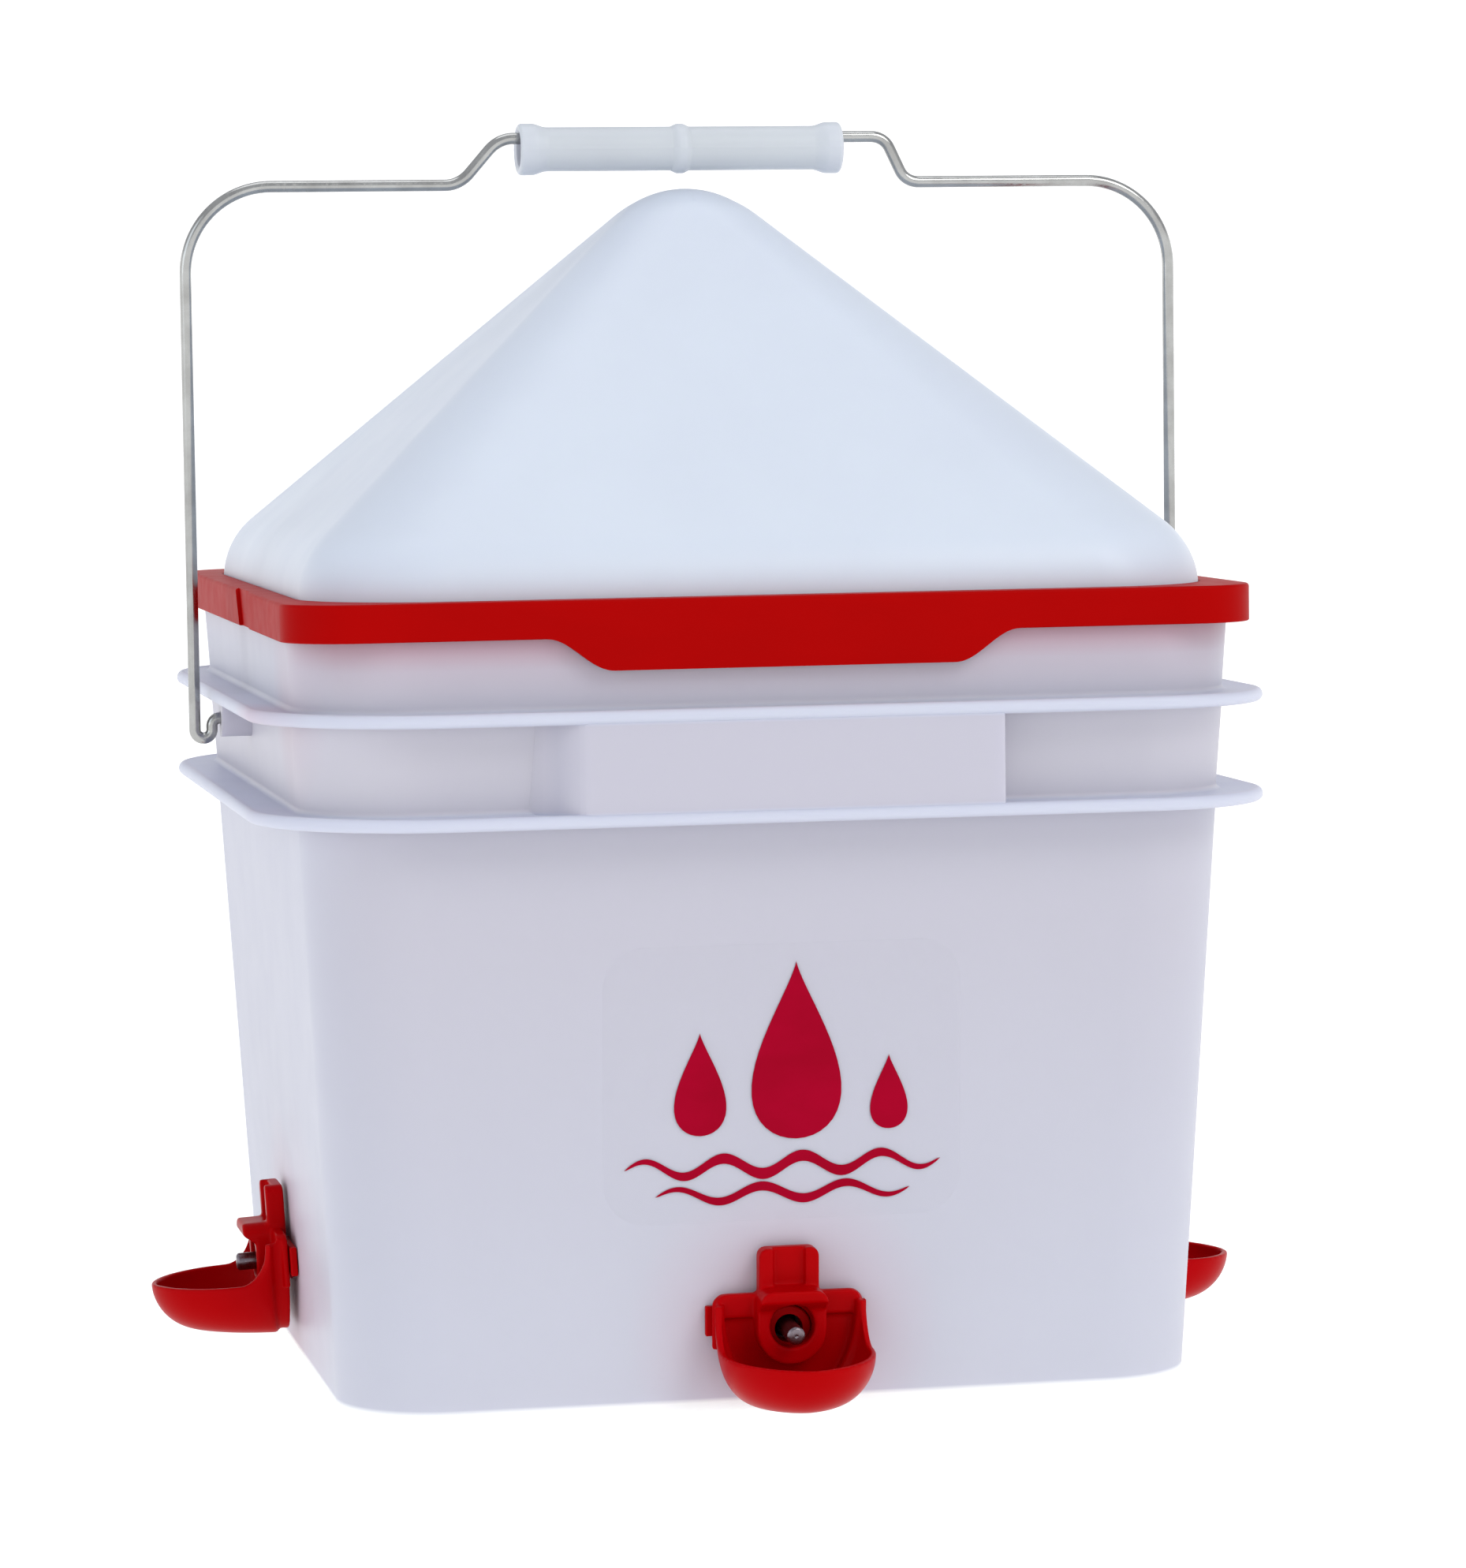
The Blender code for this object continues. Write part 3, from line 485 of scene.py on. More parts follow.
def painted_light_tints():
    """(amount, tint) pairs laid over the pail's own colour.

    Painted light and shade, laid on as colour. The front's upper wall is painted darker and warmer as
    painted shade. The wall between the ribs beside the panel is painted warmer and a little lighter as
    painted light, and the ribs are painted lighter and bluer as painted light. Red is painted on the
    wall near the red parts as a painted reflection, and the foot is painted pale as painted light.
    """
    # Painted shade: the front wall is painted darker and warmer higher up.
    painted_front_shade = (0.50, 0.492, 0.568)
    # Painted light: the wall between the ribs, beside the raised panel, is painted warmer and a little
    # lighter to offset the shade there.
    painted_recess_light = (0.555, 0.54, 0.61)
    # Painted light: the ribs are painted lighter and bluer than the wall.
    painted_rib_light = (0.535, 0.56, 0.66)
    # Painted reflection: red from the frame is painted on the wall under it, deepest close under the frame.
    painted_red_reflection = (0.47, 0.27, 0.335)
    painted_deep_red_reflection = (0.42, 0.13, 0.18)
    # Painted reflection: red from the cups is painted on the wall round each drinker, and more beside the
    # left cup where it also lightens the shade in the gap.
    painted_pale_red_reflection = (0.64, 0.42, 0.50)
    # Painted light: the foot is painted near white so it fades into the bright floor.
    painted_pale_foot = (0.90, 0.91, 0.93)
    front_full, front_faded, share_elsewhere = -0.130, -0.105, 0.1
    recess_from = -0.5 * (PANEL_FACE + wall_half(UPPER_RIB))
    recess_full = -0.138
    under_frame, close_under_frame = 0.206, 0.2165
    beside_left_cup = (-wall_half(0), -0.045, 0.034)
    on_left_rib = (-RIB_HALF, -0.100, UPPER_RIB + RIB_THICK)

    def in_front(low, high, strength):
        """Grows with height on the front, and a tenth as strongly on the other walls."""
        return lambda looks: looks.product(
            looks.spread(looks.along("Z"), 0.0, strength, low, high),
            looks.spread(looks.along("Y"), 1.0, share_elsewhere, front_full, front_faded),
        )

    def band(low, high):
        return lambda looks: looks.product(
            looks.spread(looks.along("Z"), 0.0, 1.0, low - MM, low),
            looks.spread(looks.along("Z"), 1.0, 0.0, high, high + MM),
        )

    def in_recess(looks):
        behind_panel = looks.spread(looks.along("Y"), 0.0, 1.0, recess_from, recess_full)
        return looks.product(band(LOWER_RIB + RIB_THICK, UPPER_RIB)(looks), behind_panel)

    def beside(place, reach, strength):
        return lambda looks: looks.near(place, reach, strength)

    found = [(in_front(0.03, 0.14, 1.0), painted_front_shade), (in_recess, painted_recess_light)]
    found += [(band(rib, rib + RIB_THICK), painted_rib_light) for rib in (LOWER_RIB, UPPER_RIB)]
    found.append((in_front(under_frame, FRAME_BOTTOM, 0.36), painted_red_reflection))
    found.append((in_front(close_under_frame, FRAME_BOTTOM, 0.45), painted_deep_red_reflection))
    for side in PIN_HEIGHTS:
        found.append((beside(drinker_place(side).translation, 0.046, 0.5), painted_pale_red_reflection))
    found.append((beside(beside_left_cup, 0.052, 0.25), painted_pale_red_reflection))
    # Painted reflection: red painted on the left upper rib near the front.
    found.append((beside(on_left_rib, 0.034, 0.4), painted_red_reflection))
    found.append((lambda looks: looks.spread(looks.along("Z"), 1.0, 0.0, PALE_FOOT_LOW, PALE_FOOT_HIGH), painted_pale_foot))
    return found


def make_materials():
    return {
        "pail": milky_plastic("pail_plastic", (0.53, 0.54, 0.63), (0.515, 0.525, 0.615), 0.42, painted_light_tints()),
        "cover": milky_plastic("cover_plastic", (0.595, 0.65, 0.75), (0.58, 0.63, 0.73), 0.36),
        "grip": milky_plastic("grip_plastic", (0.56, 0.595, 0.645), (0.53, 0.56, 0.61), 0.34),
        "frame": moulded_plastic("frame_plastic", (0.365, 0.0, 0.0), (0.35, 0.0, 0.0), 0.42),
        "red": moulded_plastic("red_plastic", (0.405, 0.0, 0.002), (0.385, 0.0, 0.001), 0.3),
        "ink": moulded_plastic("decal_ink", (0.34, 0.0, 0.018), (0.30, 0.0, 0.014), 0.34, 2400.0),
        "zinc": metal("bail_wire", (0.45, 0.455, 0.445), (0.36, 0.36, 0.35), 0.14, 0.28, (1, 1, 0.06)),
        # Painted reflection: the pin's colour is tinted red, as the red cup reflected in it.
        "steel": metal("stainless_pin", (0.24, 0.20, 0.22), (0.19, 0.16, 0.18), 0.24, 0.36, (1, 0.1, 1)),
        "spring": metal("spring_wire", (0.60, 0.60, 0.62), (0.50, 0.50, 0.52), 0.25, 0.4, (1, 1, 1)),
        "rubber": rubber("rubber_seal"),
        "film": clear_film("decal_vinyl"),
    }


# ---------------------------------------------------------------- pail


def rib_profile(low, thick):
    """(half width, share of the way out, height) round one rib.

    The rib is filleted into the wall and beaded at its edge.
    """
    points = []

    def add(half, z):
        share = max(0.0, min(1.0, (half - wall_half(low)) / (RIB_HALF - wall_half(low))))
        points.append((half, share, z))

    top = low + thick
    steps = 5
    for step in range(steps + 1):
        angle = QUARTER * step / steps
        z = low - RIB_FILLET * (1 - math.sin(angle))
        add(wall_half(low) + RIB_FILLET * (1 - math.cos(angle)), z)
    bead = thick / 2 + RIB_LIP
    bead_centre = RIB_HALF - bead
    add(bead_centre - bead, low)
    for step in range(2 * steps + 1):
        angle = -QUARTER + 2 * QUARTER * step / (2 * steps)
        add(bead_centre + bead * math.cos(angle), low + thick / 2 + bead * math.sin(angle))
    add(bead_centre - bead, top)
    for step in range(steps, -1, -1):
        angle = QUARTER * step / steps
        z = top + RIB_FILLET * (1 - math.sin(angle))
        add(wall_half(top) + RIB_FILLET * (1 - math.cos(angle)), z)
    return points


def pail_rings():
    rings = []
    steps = 8
    lip = 0.5 * MM

    def add(half, corner, z):
        rings.append(rounded_square(half, half, corner, z))

    for step in range(steps + 1):
        angle = QUARTER * step / steps
        inset = FOOT_ROUND * (1 - math.sin(angle))
        z = FOOT_ROUND * (1 - math.cos(angle))
        add(wall_half(z) - inset, PAIL_CORNER - inset, z)
    for rib in (LOWER_RIB, UPPER_RIB):
        for half, share, z in rib_profile(rib, RIB_THICK):
            corner = PAIL_CORNER + (RIB_CORNER - PAIL_CORNER) * share
            front_right = PAIL_CORNER + (RIB_FRONT_RIGHT_CORNER - PAIL_CORNER) * share
            rings.append(rounded_square(half, half, corner, z, front_right))
    add(wall_half(RIM_TOP), PAIL_CORNER, RIM_TOP - lip)
    add(wall_half(RIM_TOP) - lip, PAIL_CORNER - lip, RIM_TOP)
    add(wall_half(RIM_TOP) - WALL + lip, PAIL_CORNER - WALL + lip, RIM_TOP)
    add(wall_half(RIM_TOP) - WALL, PAIL_CORNER - WALL, RIM_TOP - lip)
    for step in range(steps, -1, -1):
        angle = QUARTER * step / steps
        inset = FOOT_ROUND * (1 - math.sin(angle))
        z = FLOOR + FOOT_ROUND * (1 - math.cos(angle))
        add(wall_half(z) - WALL - inset, PAIL_CORNER - WALL - inset, z)
    return rings


def panel():
    """The raised panel between the ribs, with a long soft ramp at its left and a steep one at its right."""
    foot = wall_half(LOWER_RIB) - WALL / 2
    steps = 12
    outline = []
    for end, ramp in ((-PANEL_LEFT, -PANEL_LEFT_RAMP), (PANEL_RIGHT, PANEL_RIGHT_RAMP)):
        side = []
        for step in range(steps + 1):
            rise = (1 - math.cos(math.pi * step / steps)) / 2
            side.append((end + ramp * (1 - step / steps), -foot - (PANEL_FACE - foot) * rise))
        outline += side if end < 0 else side[::-1]
    return object_of("panel", prism(outline, 2, LOWER_RIB + RIB_THICK / 2, UPPER_RIB + RIB_THICK / 2))


def ear_boss(side):
    foot = wall_half(BAIL_AXIS_Z) - WALL / 2
    outline = arc((0, BAIL_AXIS_Z), EAR_RADIUS, 180, 360, 32)
    outline += [(EAR_RADIUS, UPPER_RIB + RIB_THICK / 2), (-EAR_RADIUS, UPPER_RIB + RIB_THICK / 2)]
    return object_of("ear", prism(outline, 0, side * foot, side * EAR_FACE))


def ear_bore(side):
    outline = arc((0, BAIL_AXIS_Z), EAR_BORE, 0, 352.5, 47)
    return object_of("bore", prism(outline, 0, side * EAR_BORE_END, side * (EAR_FACE + WIRE)))


def nipple_hole(side):
    hole = object_of("hole", turned([(-3 * WALL, BARREL + GAP), (2 * WALL, BARREL + GAP)]))
    hole.matrix_world = drinker_place(side)
    return hole


def make_pail(looks):
    pail = object_of("pail_shell", loft(pail_rings()))
    back_panel = panel()
    back_panel.rotation_euler.z = 2 * QUARTER
    combined(pail, [panel(), back_panel, ear_boss(-1), ear_boss(1)], "UNION")
    holes = [nipple_hole(side) for side in PIN_HEIGHTS]
    combined(pail, holes + [ear_bore(-1), ear_bore(1)], "DIFFERENCE")
    smooth(pail)
    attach(pail, "pail")
    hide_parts("pail")
    dressed(pail, looks["pail"])


# ---------------------------------------------------------------- lid


def make_frame(looks):
    inner = FRAME_HALF - FRAME_WALL
    opening = COVER_HALF + GAP
    opening_corner = COVER_CORNER_BASE + GAP
    web = FRAME_TOP - FRAME_WALL
    foot_round = 0.3 * MM
    lip_round = 0.4 * MM
    edge_steps = 4
    rings = []

    def add(half, corner, z):
        rings.append(rounded_square(half, half, corner, z))

    add(FRAME_HALF - foot_round, FRAME_CORNER - foot_round, FRAME_BOTTOM)
    add(FRAME_HALF, FRAME_CORNER, FRAME_BOTTOM + foot_round)
    for step in range(edge_steps + 1):
        angle = QUARTER * step / edge_steps
        inset = FRAME_EDGE * (1 - math.cos(angle))
        add(FRAME_HALF - inset, FRAME_CORNER - inset, FRAME_TOP - FRAME_EDGE * (1 - math.sin(angle)))
    add(opening + lip_round, opening_corner + lip_round, FRAME_TOP)
    add(opening, opening_corner, FRAME_TOP - lip_round)
    add(opening, opening_corner, web)
    add(inner, FRAME_CORNER - FRAME_WALL, web)
    add(inner, FRAME_CORNER - FRAME_WALL, FRAME_BOTTOM)
    lid_frame = object_of("snap_frame", loft(rings, loop=True))
    outline = [(-TAB_TOP_HALF, FRAME_BOTTOM + FRAME_WALL)]
    steps = 24
    for step in range(steps + 1):
        along = step / steps
        z = FRAME_BOTTOM - (FRAME_BOTTOM - FRAME_TAB_LOW) * (1 - math.cos(math.pi * along)) / 2
        outline.append((-TAB_TOP_HALF + (TAB_TOP_HALF - TAB_LOW_HALF) * along, z))
    outline += [(-x, z) for x, z in reversed(outline)]
    tabs = []
    for sign in (-1, 1):
        near, far = sorted((sign * inner, sign * FRAME_HALF))
        tabs.append(object_of("tab", prism(outline, 1, near, far)))
    combined(lid_frame, tabs, "UNION")
    notch_depth = 1.1 * MM
    notch = [
        (-43.0 * MM, FRAME_TOP + MM),
        (-11.0 * MM, FRAME_TOP + MM),
        (-21.0 * MM, FRAME_BOTTOM - MM),
        (-45.0 * MM, FRAME_BOTTOM - MM),
    ]
    wedge = object_of("wedge", prism(notch, 0, -FRAME_HALF - MM, -FRAME_HALF + notch_depth))
    combined(lid_frame, [wedge], "DIFFERENCE")
    smooth(lid_frame)
    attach(lid_frame, "lid")
    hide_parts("lid_frame")
    dressed(lid_frame, looks["frame"])


def cover_profile():
    """(half width, height) pairs down the cover's outside, from its apex to the top of its flange."""
    virtual_apex = COVER_APEX - APEX_ROUND + APEX_ROUND / math.cos(COVER_SLOPE)
    apex_steps, slope_steps, shoulder_steps = 12, 14, 14
    points = []
    for step in range(1, apex_steps + 1):
        angle = COVER_SLOPE * step / apex_steps
        points.append((APEX_ROUND * math.sin(angle), COVER_APEX - APEX_ROUND * (1 - math.cos(angle))))
    centre = COVER_HALF - SHOULDER_ROUND
    start = centre + SHOULDER_ROUND * math.sin(COVER_SLOPE)
    start_z = virtual_apex - start * math.tan(COVER_SLOPE)
    centre_z = start_z - SHOULDER_ROUND * math.cos(COVER_SLOPE)
    first = points[-1][0]
    for step in range(1, slope_steps):
        half = first + (start - first) * step / slope_steps
        points.append((half, virtual_apex - half * math.tan(COVER_SLOPE)))
    for step in range(shoulder_steps + 1):
        angle = COVER_SLOPE + (QUARTER - COVER_SLOPE) * step / shoulder_steps
        half = centre + SHOULDER_ROUND * math.sin(angle)
        points.append((half, centre_z + SHOULDER_ROUND * math.cos(angle)))
    return points


def cover_corner(half):
    return min(half, COVER_CORNER_TOP + (COVER_CORNER_BASE - COVER_CORNER_TOP) * half / COVER_HALF)


def make_cover(looks):
    flange_top = FRAME_TOP - FRAME_WALL - GAP
    flange_half = FRAME_HALF - FRAME_WALL - 5 * GAP
    flange_corner = FRAME_CORNER - FRAME_WALL
    foot = flange_top - COVER_FLANGE
    outside = [(half, cover_corner(half), z) for half, z in cover_profile()]
    outside.append((COVER_HALF, COVER_CORNER_BASE, flange_top))
    slant = COVER_WALL / math.cos(COVER_SLOPE)
    inside = []
    for half, corner, z in outside[:-1]:
        shrink = max(half - COVER_WALL, 0) / half
        drop = max(COVER_WALL, slant * (1 - half / COVER_HALF))
        if half * shrink > COVER_WALL:
            inside.append((half * shrink, corner * shrink, z - drop))
    rings = [rounded_square(half, half, corner, z) for half, corner, z in inside]
    skirt_half = COVER_HALF - COVER_WALL
    rings.append(rounded_square(skirt_half, skirt_half, COVER_CORNER_BASE - COVER_WALL, foot))
    rings.append(rounded_square(flange_half, flange_half, flange_corner, foot))
    rings.append(rounded_square(flange_half, flange_half, flange_corner, flange_top))
    rings += [rounded_square(half, half, corner, z) for half, corner, z in reversed(outside)]
    cover = object_of("pyramid_cover", loft(rings))
    smooth(cover, 50)
    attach(cover, "lid")
    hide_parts("roost_cover")
    dressed(cover, looks["cover"])


# ---------------------------------------------------------------- bail and grip


def bail_half():
    """(distance from the middle, height) down half of the bail, from the crown to the tip in the ear."""
    bend = BAIL_STEP_BEND
    angle = math.degrees(BAIL_STEP_ANGLE)
    bend_x = bend * math.sin(BAIL_STEP_ANGLE)
    bend_drop = bend * (1 - math.cos(BAIL_STEP_ANGLE))
    slope_run = (BAIL_CROWN_Z - BAIL_SHOULDER_Z - 2 * bend_drop) / math.tan(BAIL_STEP_ANGLE)
    inner_x = BAIL_STEP_X - slope_run / 2 - bend_x
    outer_x = BAIL_STEP_X + slope_run / 2 + bend_x
    points = arc((inner_x, BAIL_CROWN_Z - bend), bend, 90, 90 - angle, 12)
    points += arc((outer_x, BAIL_SHOULDER_Z + bend), bend, 270 - angle, 270, 12)
    corner = BAIL_SHOULDER_BEND
    points += arc((BAIL_LEG_X - corner, BAIL_SHOULDER_Z - corner), corner, 90, 0, 24)
    hook = (BAIL_LEG_X - BAIL_INNER_X) / 2
    bend_z = BAIL_AXIS_Z - BAIL_TIP_BEND
    points += arc((BAIL_LEG_X - hook, bend_z - BAIL_HOOK_DROP), hook, 0, -180, 16)
    points += arc((BAIL_INNER_X - BAIL_TIP_BEND, bend_z), BAIL_TIP_BEND, 0, 90, 8)
    points.append((BAIL_TIP_X, BAIL_AXIS_Z))
    return points


def make_bail(looks):
    half = bail_half()
    route = [(-x, z) for x, z in reversed(half)] + half
    points = []
    for x, z in route:
        rise = max(0, (z - BAIL_SHOULDER_Z) / (BAIL_CROWN_Z - BAIL_SHOULDER_Z))
        points.append((x + CROWN_SHIFT * rise, z))
    curve = bpy.data.curves.new("bail_wire", "CURVE")
    curve.dimensions = "3D"
    curve.bevel_depth = WIRE
    curve.bevel_resolution = 6
    curve.use_fill_caps = True
    line = curve.splines.new("POLY")
    line.points.add(len(points) - 1)
    for point, (x, z) in zip(line.points, points):
        point.co = (x, 0, z, 1)
    wire = bpy.data.objects.new("bail_route", curve)
    bpy.context.scene.collection.objects.link(wire)
    bpy.context.view_layer.update()
    graph = bpy.context.evaluated_depsgraph_get()
    mesh = bpy.data.meshes.new_from_object(wire.evaluated_get(graph))
    bpy.data.objects.remove(wire)
    bail = bpy.data.objects.new("bail_wire", mesh)
    bpy.context.scene.collection.objects.link(bail)
    smooth(bail, 50)
    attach(bail, "bail")
    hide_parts("bail")
    dressed(bail, looks["zinc"])


def make_grip(looks):
    """A blown tube: belled ends with rolled lips, a ring at its middle and a faint parting line."""
    lip = (GRIP_FLARE - GRIP_BORE) / 2
    lip_steps = 8
    curve_steps = 10
    outside = []
    for step in range(lip_steps + 1):
        angle = QUARTER * step / lip_steps
        outside.append((-GRIP_HALF + lip * (1 - math.sin(angle)), GRIP_FLARE - lip * (1 - math.cos(angle))))
    outside.reverse()
    bell_end = 9.0 * MM
    bell_start = 4.0 * MM
    for step in range(1, curve_steps + 1):
        along = step / curve_steps
        radius = GRIP_FLARE - (GRIP_FLARE - GRIP_BODY) * (1 - math.cos(math.pi * along)) / 2
        outside.append((-GRIP_HALF + bell_start + (bell_end - bell_start) * along, radius))
    ring_half = 2.4 * MM
    ring_foot = 1.25
    ring_swell = 1.5
    for step in range(curve_steps + 1):
        along = step / curve_steps
        rise = (GRIP_RING - GRIP_BODY) * math.sin(QUARTER * along) ** ring_swell
        outside.append((-ring_half * (ring_foot - along), GRIP_BODY + rise))
    outside += [(-along, radius) for along, radius in reversed(outside)]
    profile = outside + [(GRIP_HALF - 0.5 * lip, GRIP_BORE), (-GRIP_HALF + 0.5 * lip, GRIP_BORE)]
    steps = 2 * ROUND_STEPS
    seam_height = 0.12 * MM
    seam_width = 0.06
    rings = []
    for along, radius in profile:
        ring = []
        for step in range(steps):
            angle = 2 * math.pi * step / steps
            seam = seam_height * math.exp(-(math.sin(angle) / seam_width) ** 2)
            reach = radius + (seam if radius > GRIP_BORE else 0)
            ring.append(GRIP_CENTRE + Vector((along, reach * math.cos(angle), reach * math.sin(angle))))
        rings.append(ring)
    grip = object_of("grip_tube", loft(rings, loop=True))
    smooth(grip, 40)
    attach(grip, "grip")
    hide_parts("grip")
    dressed(grip, looks["grip"])


# ---------------------------------------------------------------- drinkers


def bowl_side():
    """Points of the rim from its back corner to its tip: (share of half width, out, height)."""
    back_steps, sweep_steps, nose_steps = 5, 12, 24
    points = []
    for step in range(back_steps + 1):
        points.append((1.0, CUP_BACK + (CHEEK_OUT - CUP_BACK) * step / back_steps, CHEEK_HIGH))
    sweep_end = CHEEK_OUT + CHEEK_SWEEP
    for step in range(1, sweep_steps + 1):
        angle = QUARTER * step / sweep_steps
        out = sweep_end - CHEEK_SWEEP * math.cos(angle)
        points.append((1.0, out, BOWL_RIM + (CHEEK_HIGH - BOWL_RIM) * (1 - math.sin(angle))))
    for step in range(1, nose_steps):
        angle = QUARTER * step / nose_steps
        out = sweep_end + (BOWL_TIP - sweep_end) * math.sin(angle)
        points.append((math.cos(angle) ** BOWL_PLAN_POWER, out, BOWL_RIM))
    points.append((0.0, BOWL_TIP, BOWL_RIM))
    return points


def bowl_ring(level, inset, lift):
    """One ring round the bowl, stepped in behind. Level runs from 0 at its keel to 1 at its rim."""
    belly = math.sqrt(1 - (1 - level) ** 2)
    width_scale = BOWL_KEEL_WIDTH + (1 - BOWL_KEEL_WIDTH) * belly
    reach_scale = BOWL_KEEL_REACH + (1 - BOWL_KEEL_REACH) * belly
    half_ring = []
    for share, out, rim in bowl_side():
        step = BOWL_BLOCK_STEP if out < BOWL_BLOCK_OUT else 0
        across = max(BOWL_HALF * share * width_scale - step - inset * min(1, 3 * share), 0)
        reach = CUP_BACK + inset + (out - CUP_BACK) * reach_scale * (1 - 2 * inset / BOWL_TIP)
        keel = BOWL_LOW + BOWL_KEEL_RISE * out + lift + step
        half_ring.append(Vector((across, -reach, keel + (rim - keel) * level)))
    mirrored = [Vector((-p.x, p.y, p.z)) for p in reversed(half_ring[:-1])]
    return half_ring + mirrored


def bowl():
    steps = 16
    crowded_at_keel = 1.6
    levels = [(step / steps) ** crowded_at_keel for step in range(steps + 1)]
    rings = [bowl_ring(level, 0, 0) for level in levels]
    rings += [bowl_ring(level, BOWL_WALL, BOWL_WALL) for level in reversed(levels)]
    return object_of("bowl", loft(rings))


def rounded_top(half, low, high, corner):
    """An upright plate's outline, square below and round-cornered above."""
    outline = [(-half, low), (half, low)]
    outline += arc((half - corner, high - corner), corner, 0, 90)
    outline += arc((corner - half, high - corner), corner, 90, 180)
    return outline


def cup_mesh():
    """The cup in one moulding. A fine voxel remesh rounds every edge as a mould does."""
    hood = arc((0, HOOD_ROUND_Z), HOOD_HALF, 180, 360, 40)
    hood += arc((HOOD_HALF - HOOD_CORNER, HOOD_HIGH - HOOD_CORNER), HOOD_CORNER, 0, 90)
    hood += arc((HOOD_CORNER - HOOD_HALF, HOOD_HIGH - HOOD_CORNER), HOOD_CORNER, 90, 180)
    flange = rounded_top(FLANGE_HALF, FLANGE_LOW, FLANGE_HIGH, HOOD_CORNER)
    wing_bar = rounded_top(FLANGE_HALF - MM, WING_BAR_LOW, FLANGE_HIGH, HOOD_CORNER - MM)
    tab = rounded_top(TAB_HALF, SADDLE_HIGH + GAP, TAB_HIGH, TAB_CORNER)
    adds = [
        object_of("flange", prism(flange, 1, -FLANGE_OUT, -CUP_BACK)),
        object_of("wings", prism(wing_bar, 1, -WING_BAR_OUT, -CUP_BACK - GAP)),
        object_of("tab", prism(tab, 1, -TAB_OUT, -TAB_BACK)),
        object_of("hood", prism(hood, 1, -HOOD_VISOR, -CUP_BACK - 2 * GAP)),
    ]
    made = combined(bowl(), adds, "UNION")
    channel = [
        (-CHANNEL_HALF, HOOD_HIGH),
        (CHANNEL_HALF, HOOD_HIGH),
        (CHANNEL_HALF, TAB_HIGH + MM),
        (-CHANNEL_HALF, TAB_HIGH + MM),
    ]
    past = HOOD_VISOR + 2 * MM
    lip_rise = (VISOR_LIP_Z - VISOR_FOOT_Z) / (HOOD_VISOR - HOOD_FACE)
    visor = [
        (-HOOD_FACE, -HOOD_HALF - MM),
        (-HOOD_FACE, VISOR_FOOT_Z),
        (-past, VISOR_LIP_Z + lip_rise * 2 * MM),
        (-past, -HOOD_HALF - MM),
    ]
    spout = object_of("spout", turned([(BARREL_FRONT + GAP, HOOD_HOLE), (past, HOOD_HOLE)]))
    spout.location.z = HOOD_HOLE_Z
    cuts = [
        object_of("channel", prism(channel, 1, -TAB_OUT - MM, -CHANNEL_FLOOR)),
        object_of("visor", prism(visor, 0, -HOOD_HALF - MM, HOOD_HALF + MM)),
        object_of("socket", turned([(0, BARREL + GAP), (BARREL_FRONT + 2 * GAP, BARREL + GAP)])),
        spout,
    ]
    combined(made, cuts, "DIFFERENCE")
    remesh = made.modifiers.new("mould", "REMESH")
    remesh.mode = "VOXEL"
    remesh.voxel_size = CUP_VOXEL
    relax = made.modifiers.new("fillets", "SMOOTH")
    relax.factor = 0.5
    relax.iterations = 24
    applied(made)
    thin = made.modifiers.new("lighter", "DECIMATE")
    thin.ratio = CUP_SHARE_KEPT
    applied(made)
    mesh = made.data
    bpy.data.objects.remove(made)
    mesh.shade_smooth()
    return mesh


def nipple_body_mesh():
    """The barrel, screw-threaded behind the saddle plate that bears on the wall."""
    chamfer = 0.4 * MM
    edge = 0.45 * MM
    profile = []
    out = BARREL_BACK
    while out < -WALL:
        profile += [(out, BARREL - THREAD_DEPTH), (out + THREAD_PITCH / 2, BARREL)]
        out += THREAD_PITCH
    profile += [(-WALL, BARREL), (BARREL_FRONT - chamfer, BARREL), (BARREL_FRONT, BARREL - chamfer)]
    barrel = object_of("barrel", turned(profile))
    outline = [
        (-SADDLE_HALF, SADDLE_LOW),
        (SADDLE_HALF, SADDLE_LOW),
        (SADDLE_HALF, SADDLE_HIGH),
        (-SADDLE_HALF, SADDLE_HIGH),
    ]
    saddle = bevelled(object_of("saddle", prism(outline, 1, -SADDLE_OUT, -GAP)), edge)
    combined(barrel, [saddle], "UNION")
    bores = [
        object_of("outlet", turned([(CHAMBER_FRONT - MM, OUTLET), (BARREL_FRONT + MM, OUTLET)])),
        object_of("chamber", turned([(BARREL_BACK - MM, CHAMBER), (CHAMBER_FRONT, CHAMBER)])),
    ]
    combined(barrel, bores, "DIFFERENCE")
    mesh = barrel.data
    bpy.data.objects.remove(barrel)
    return mesh


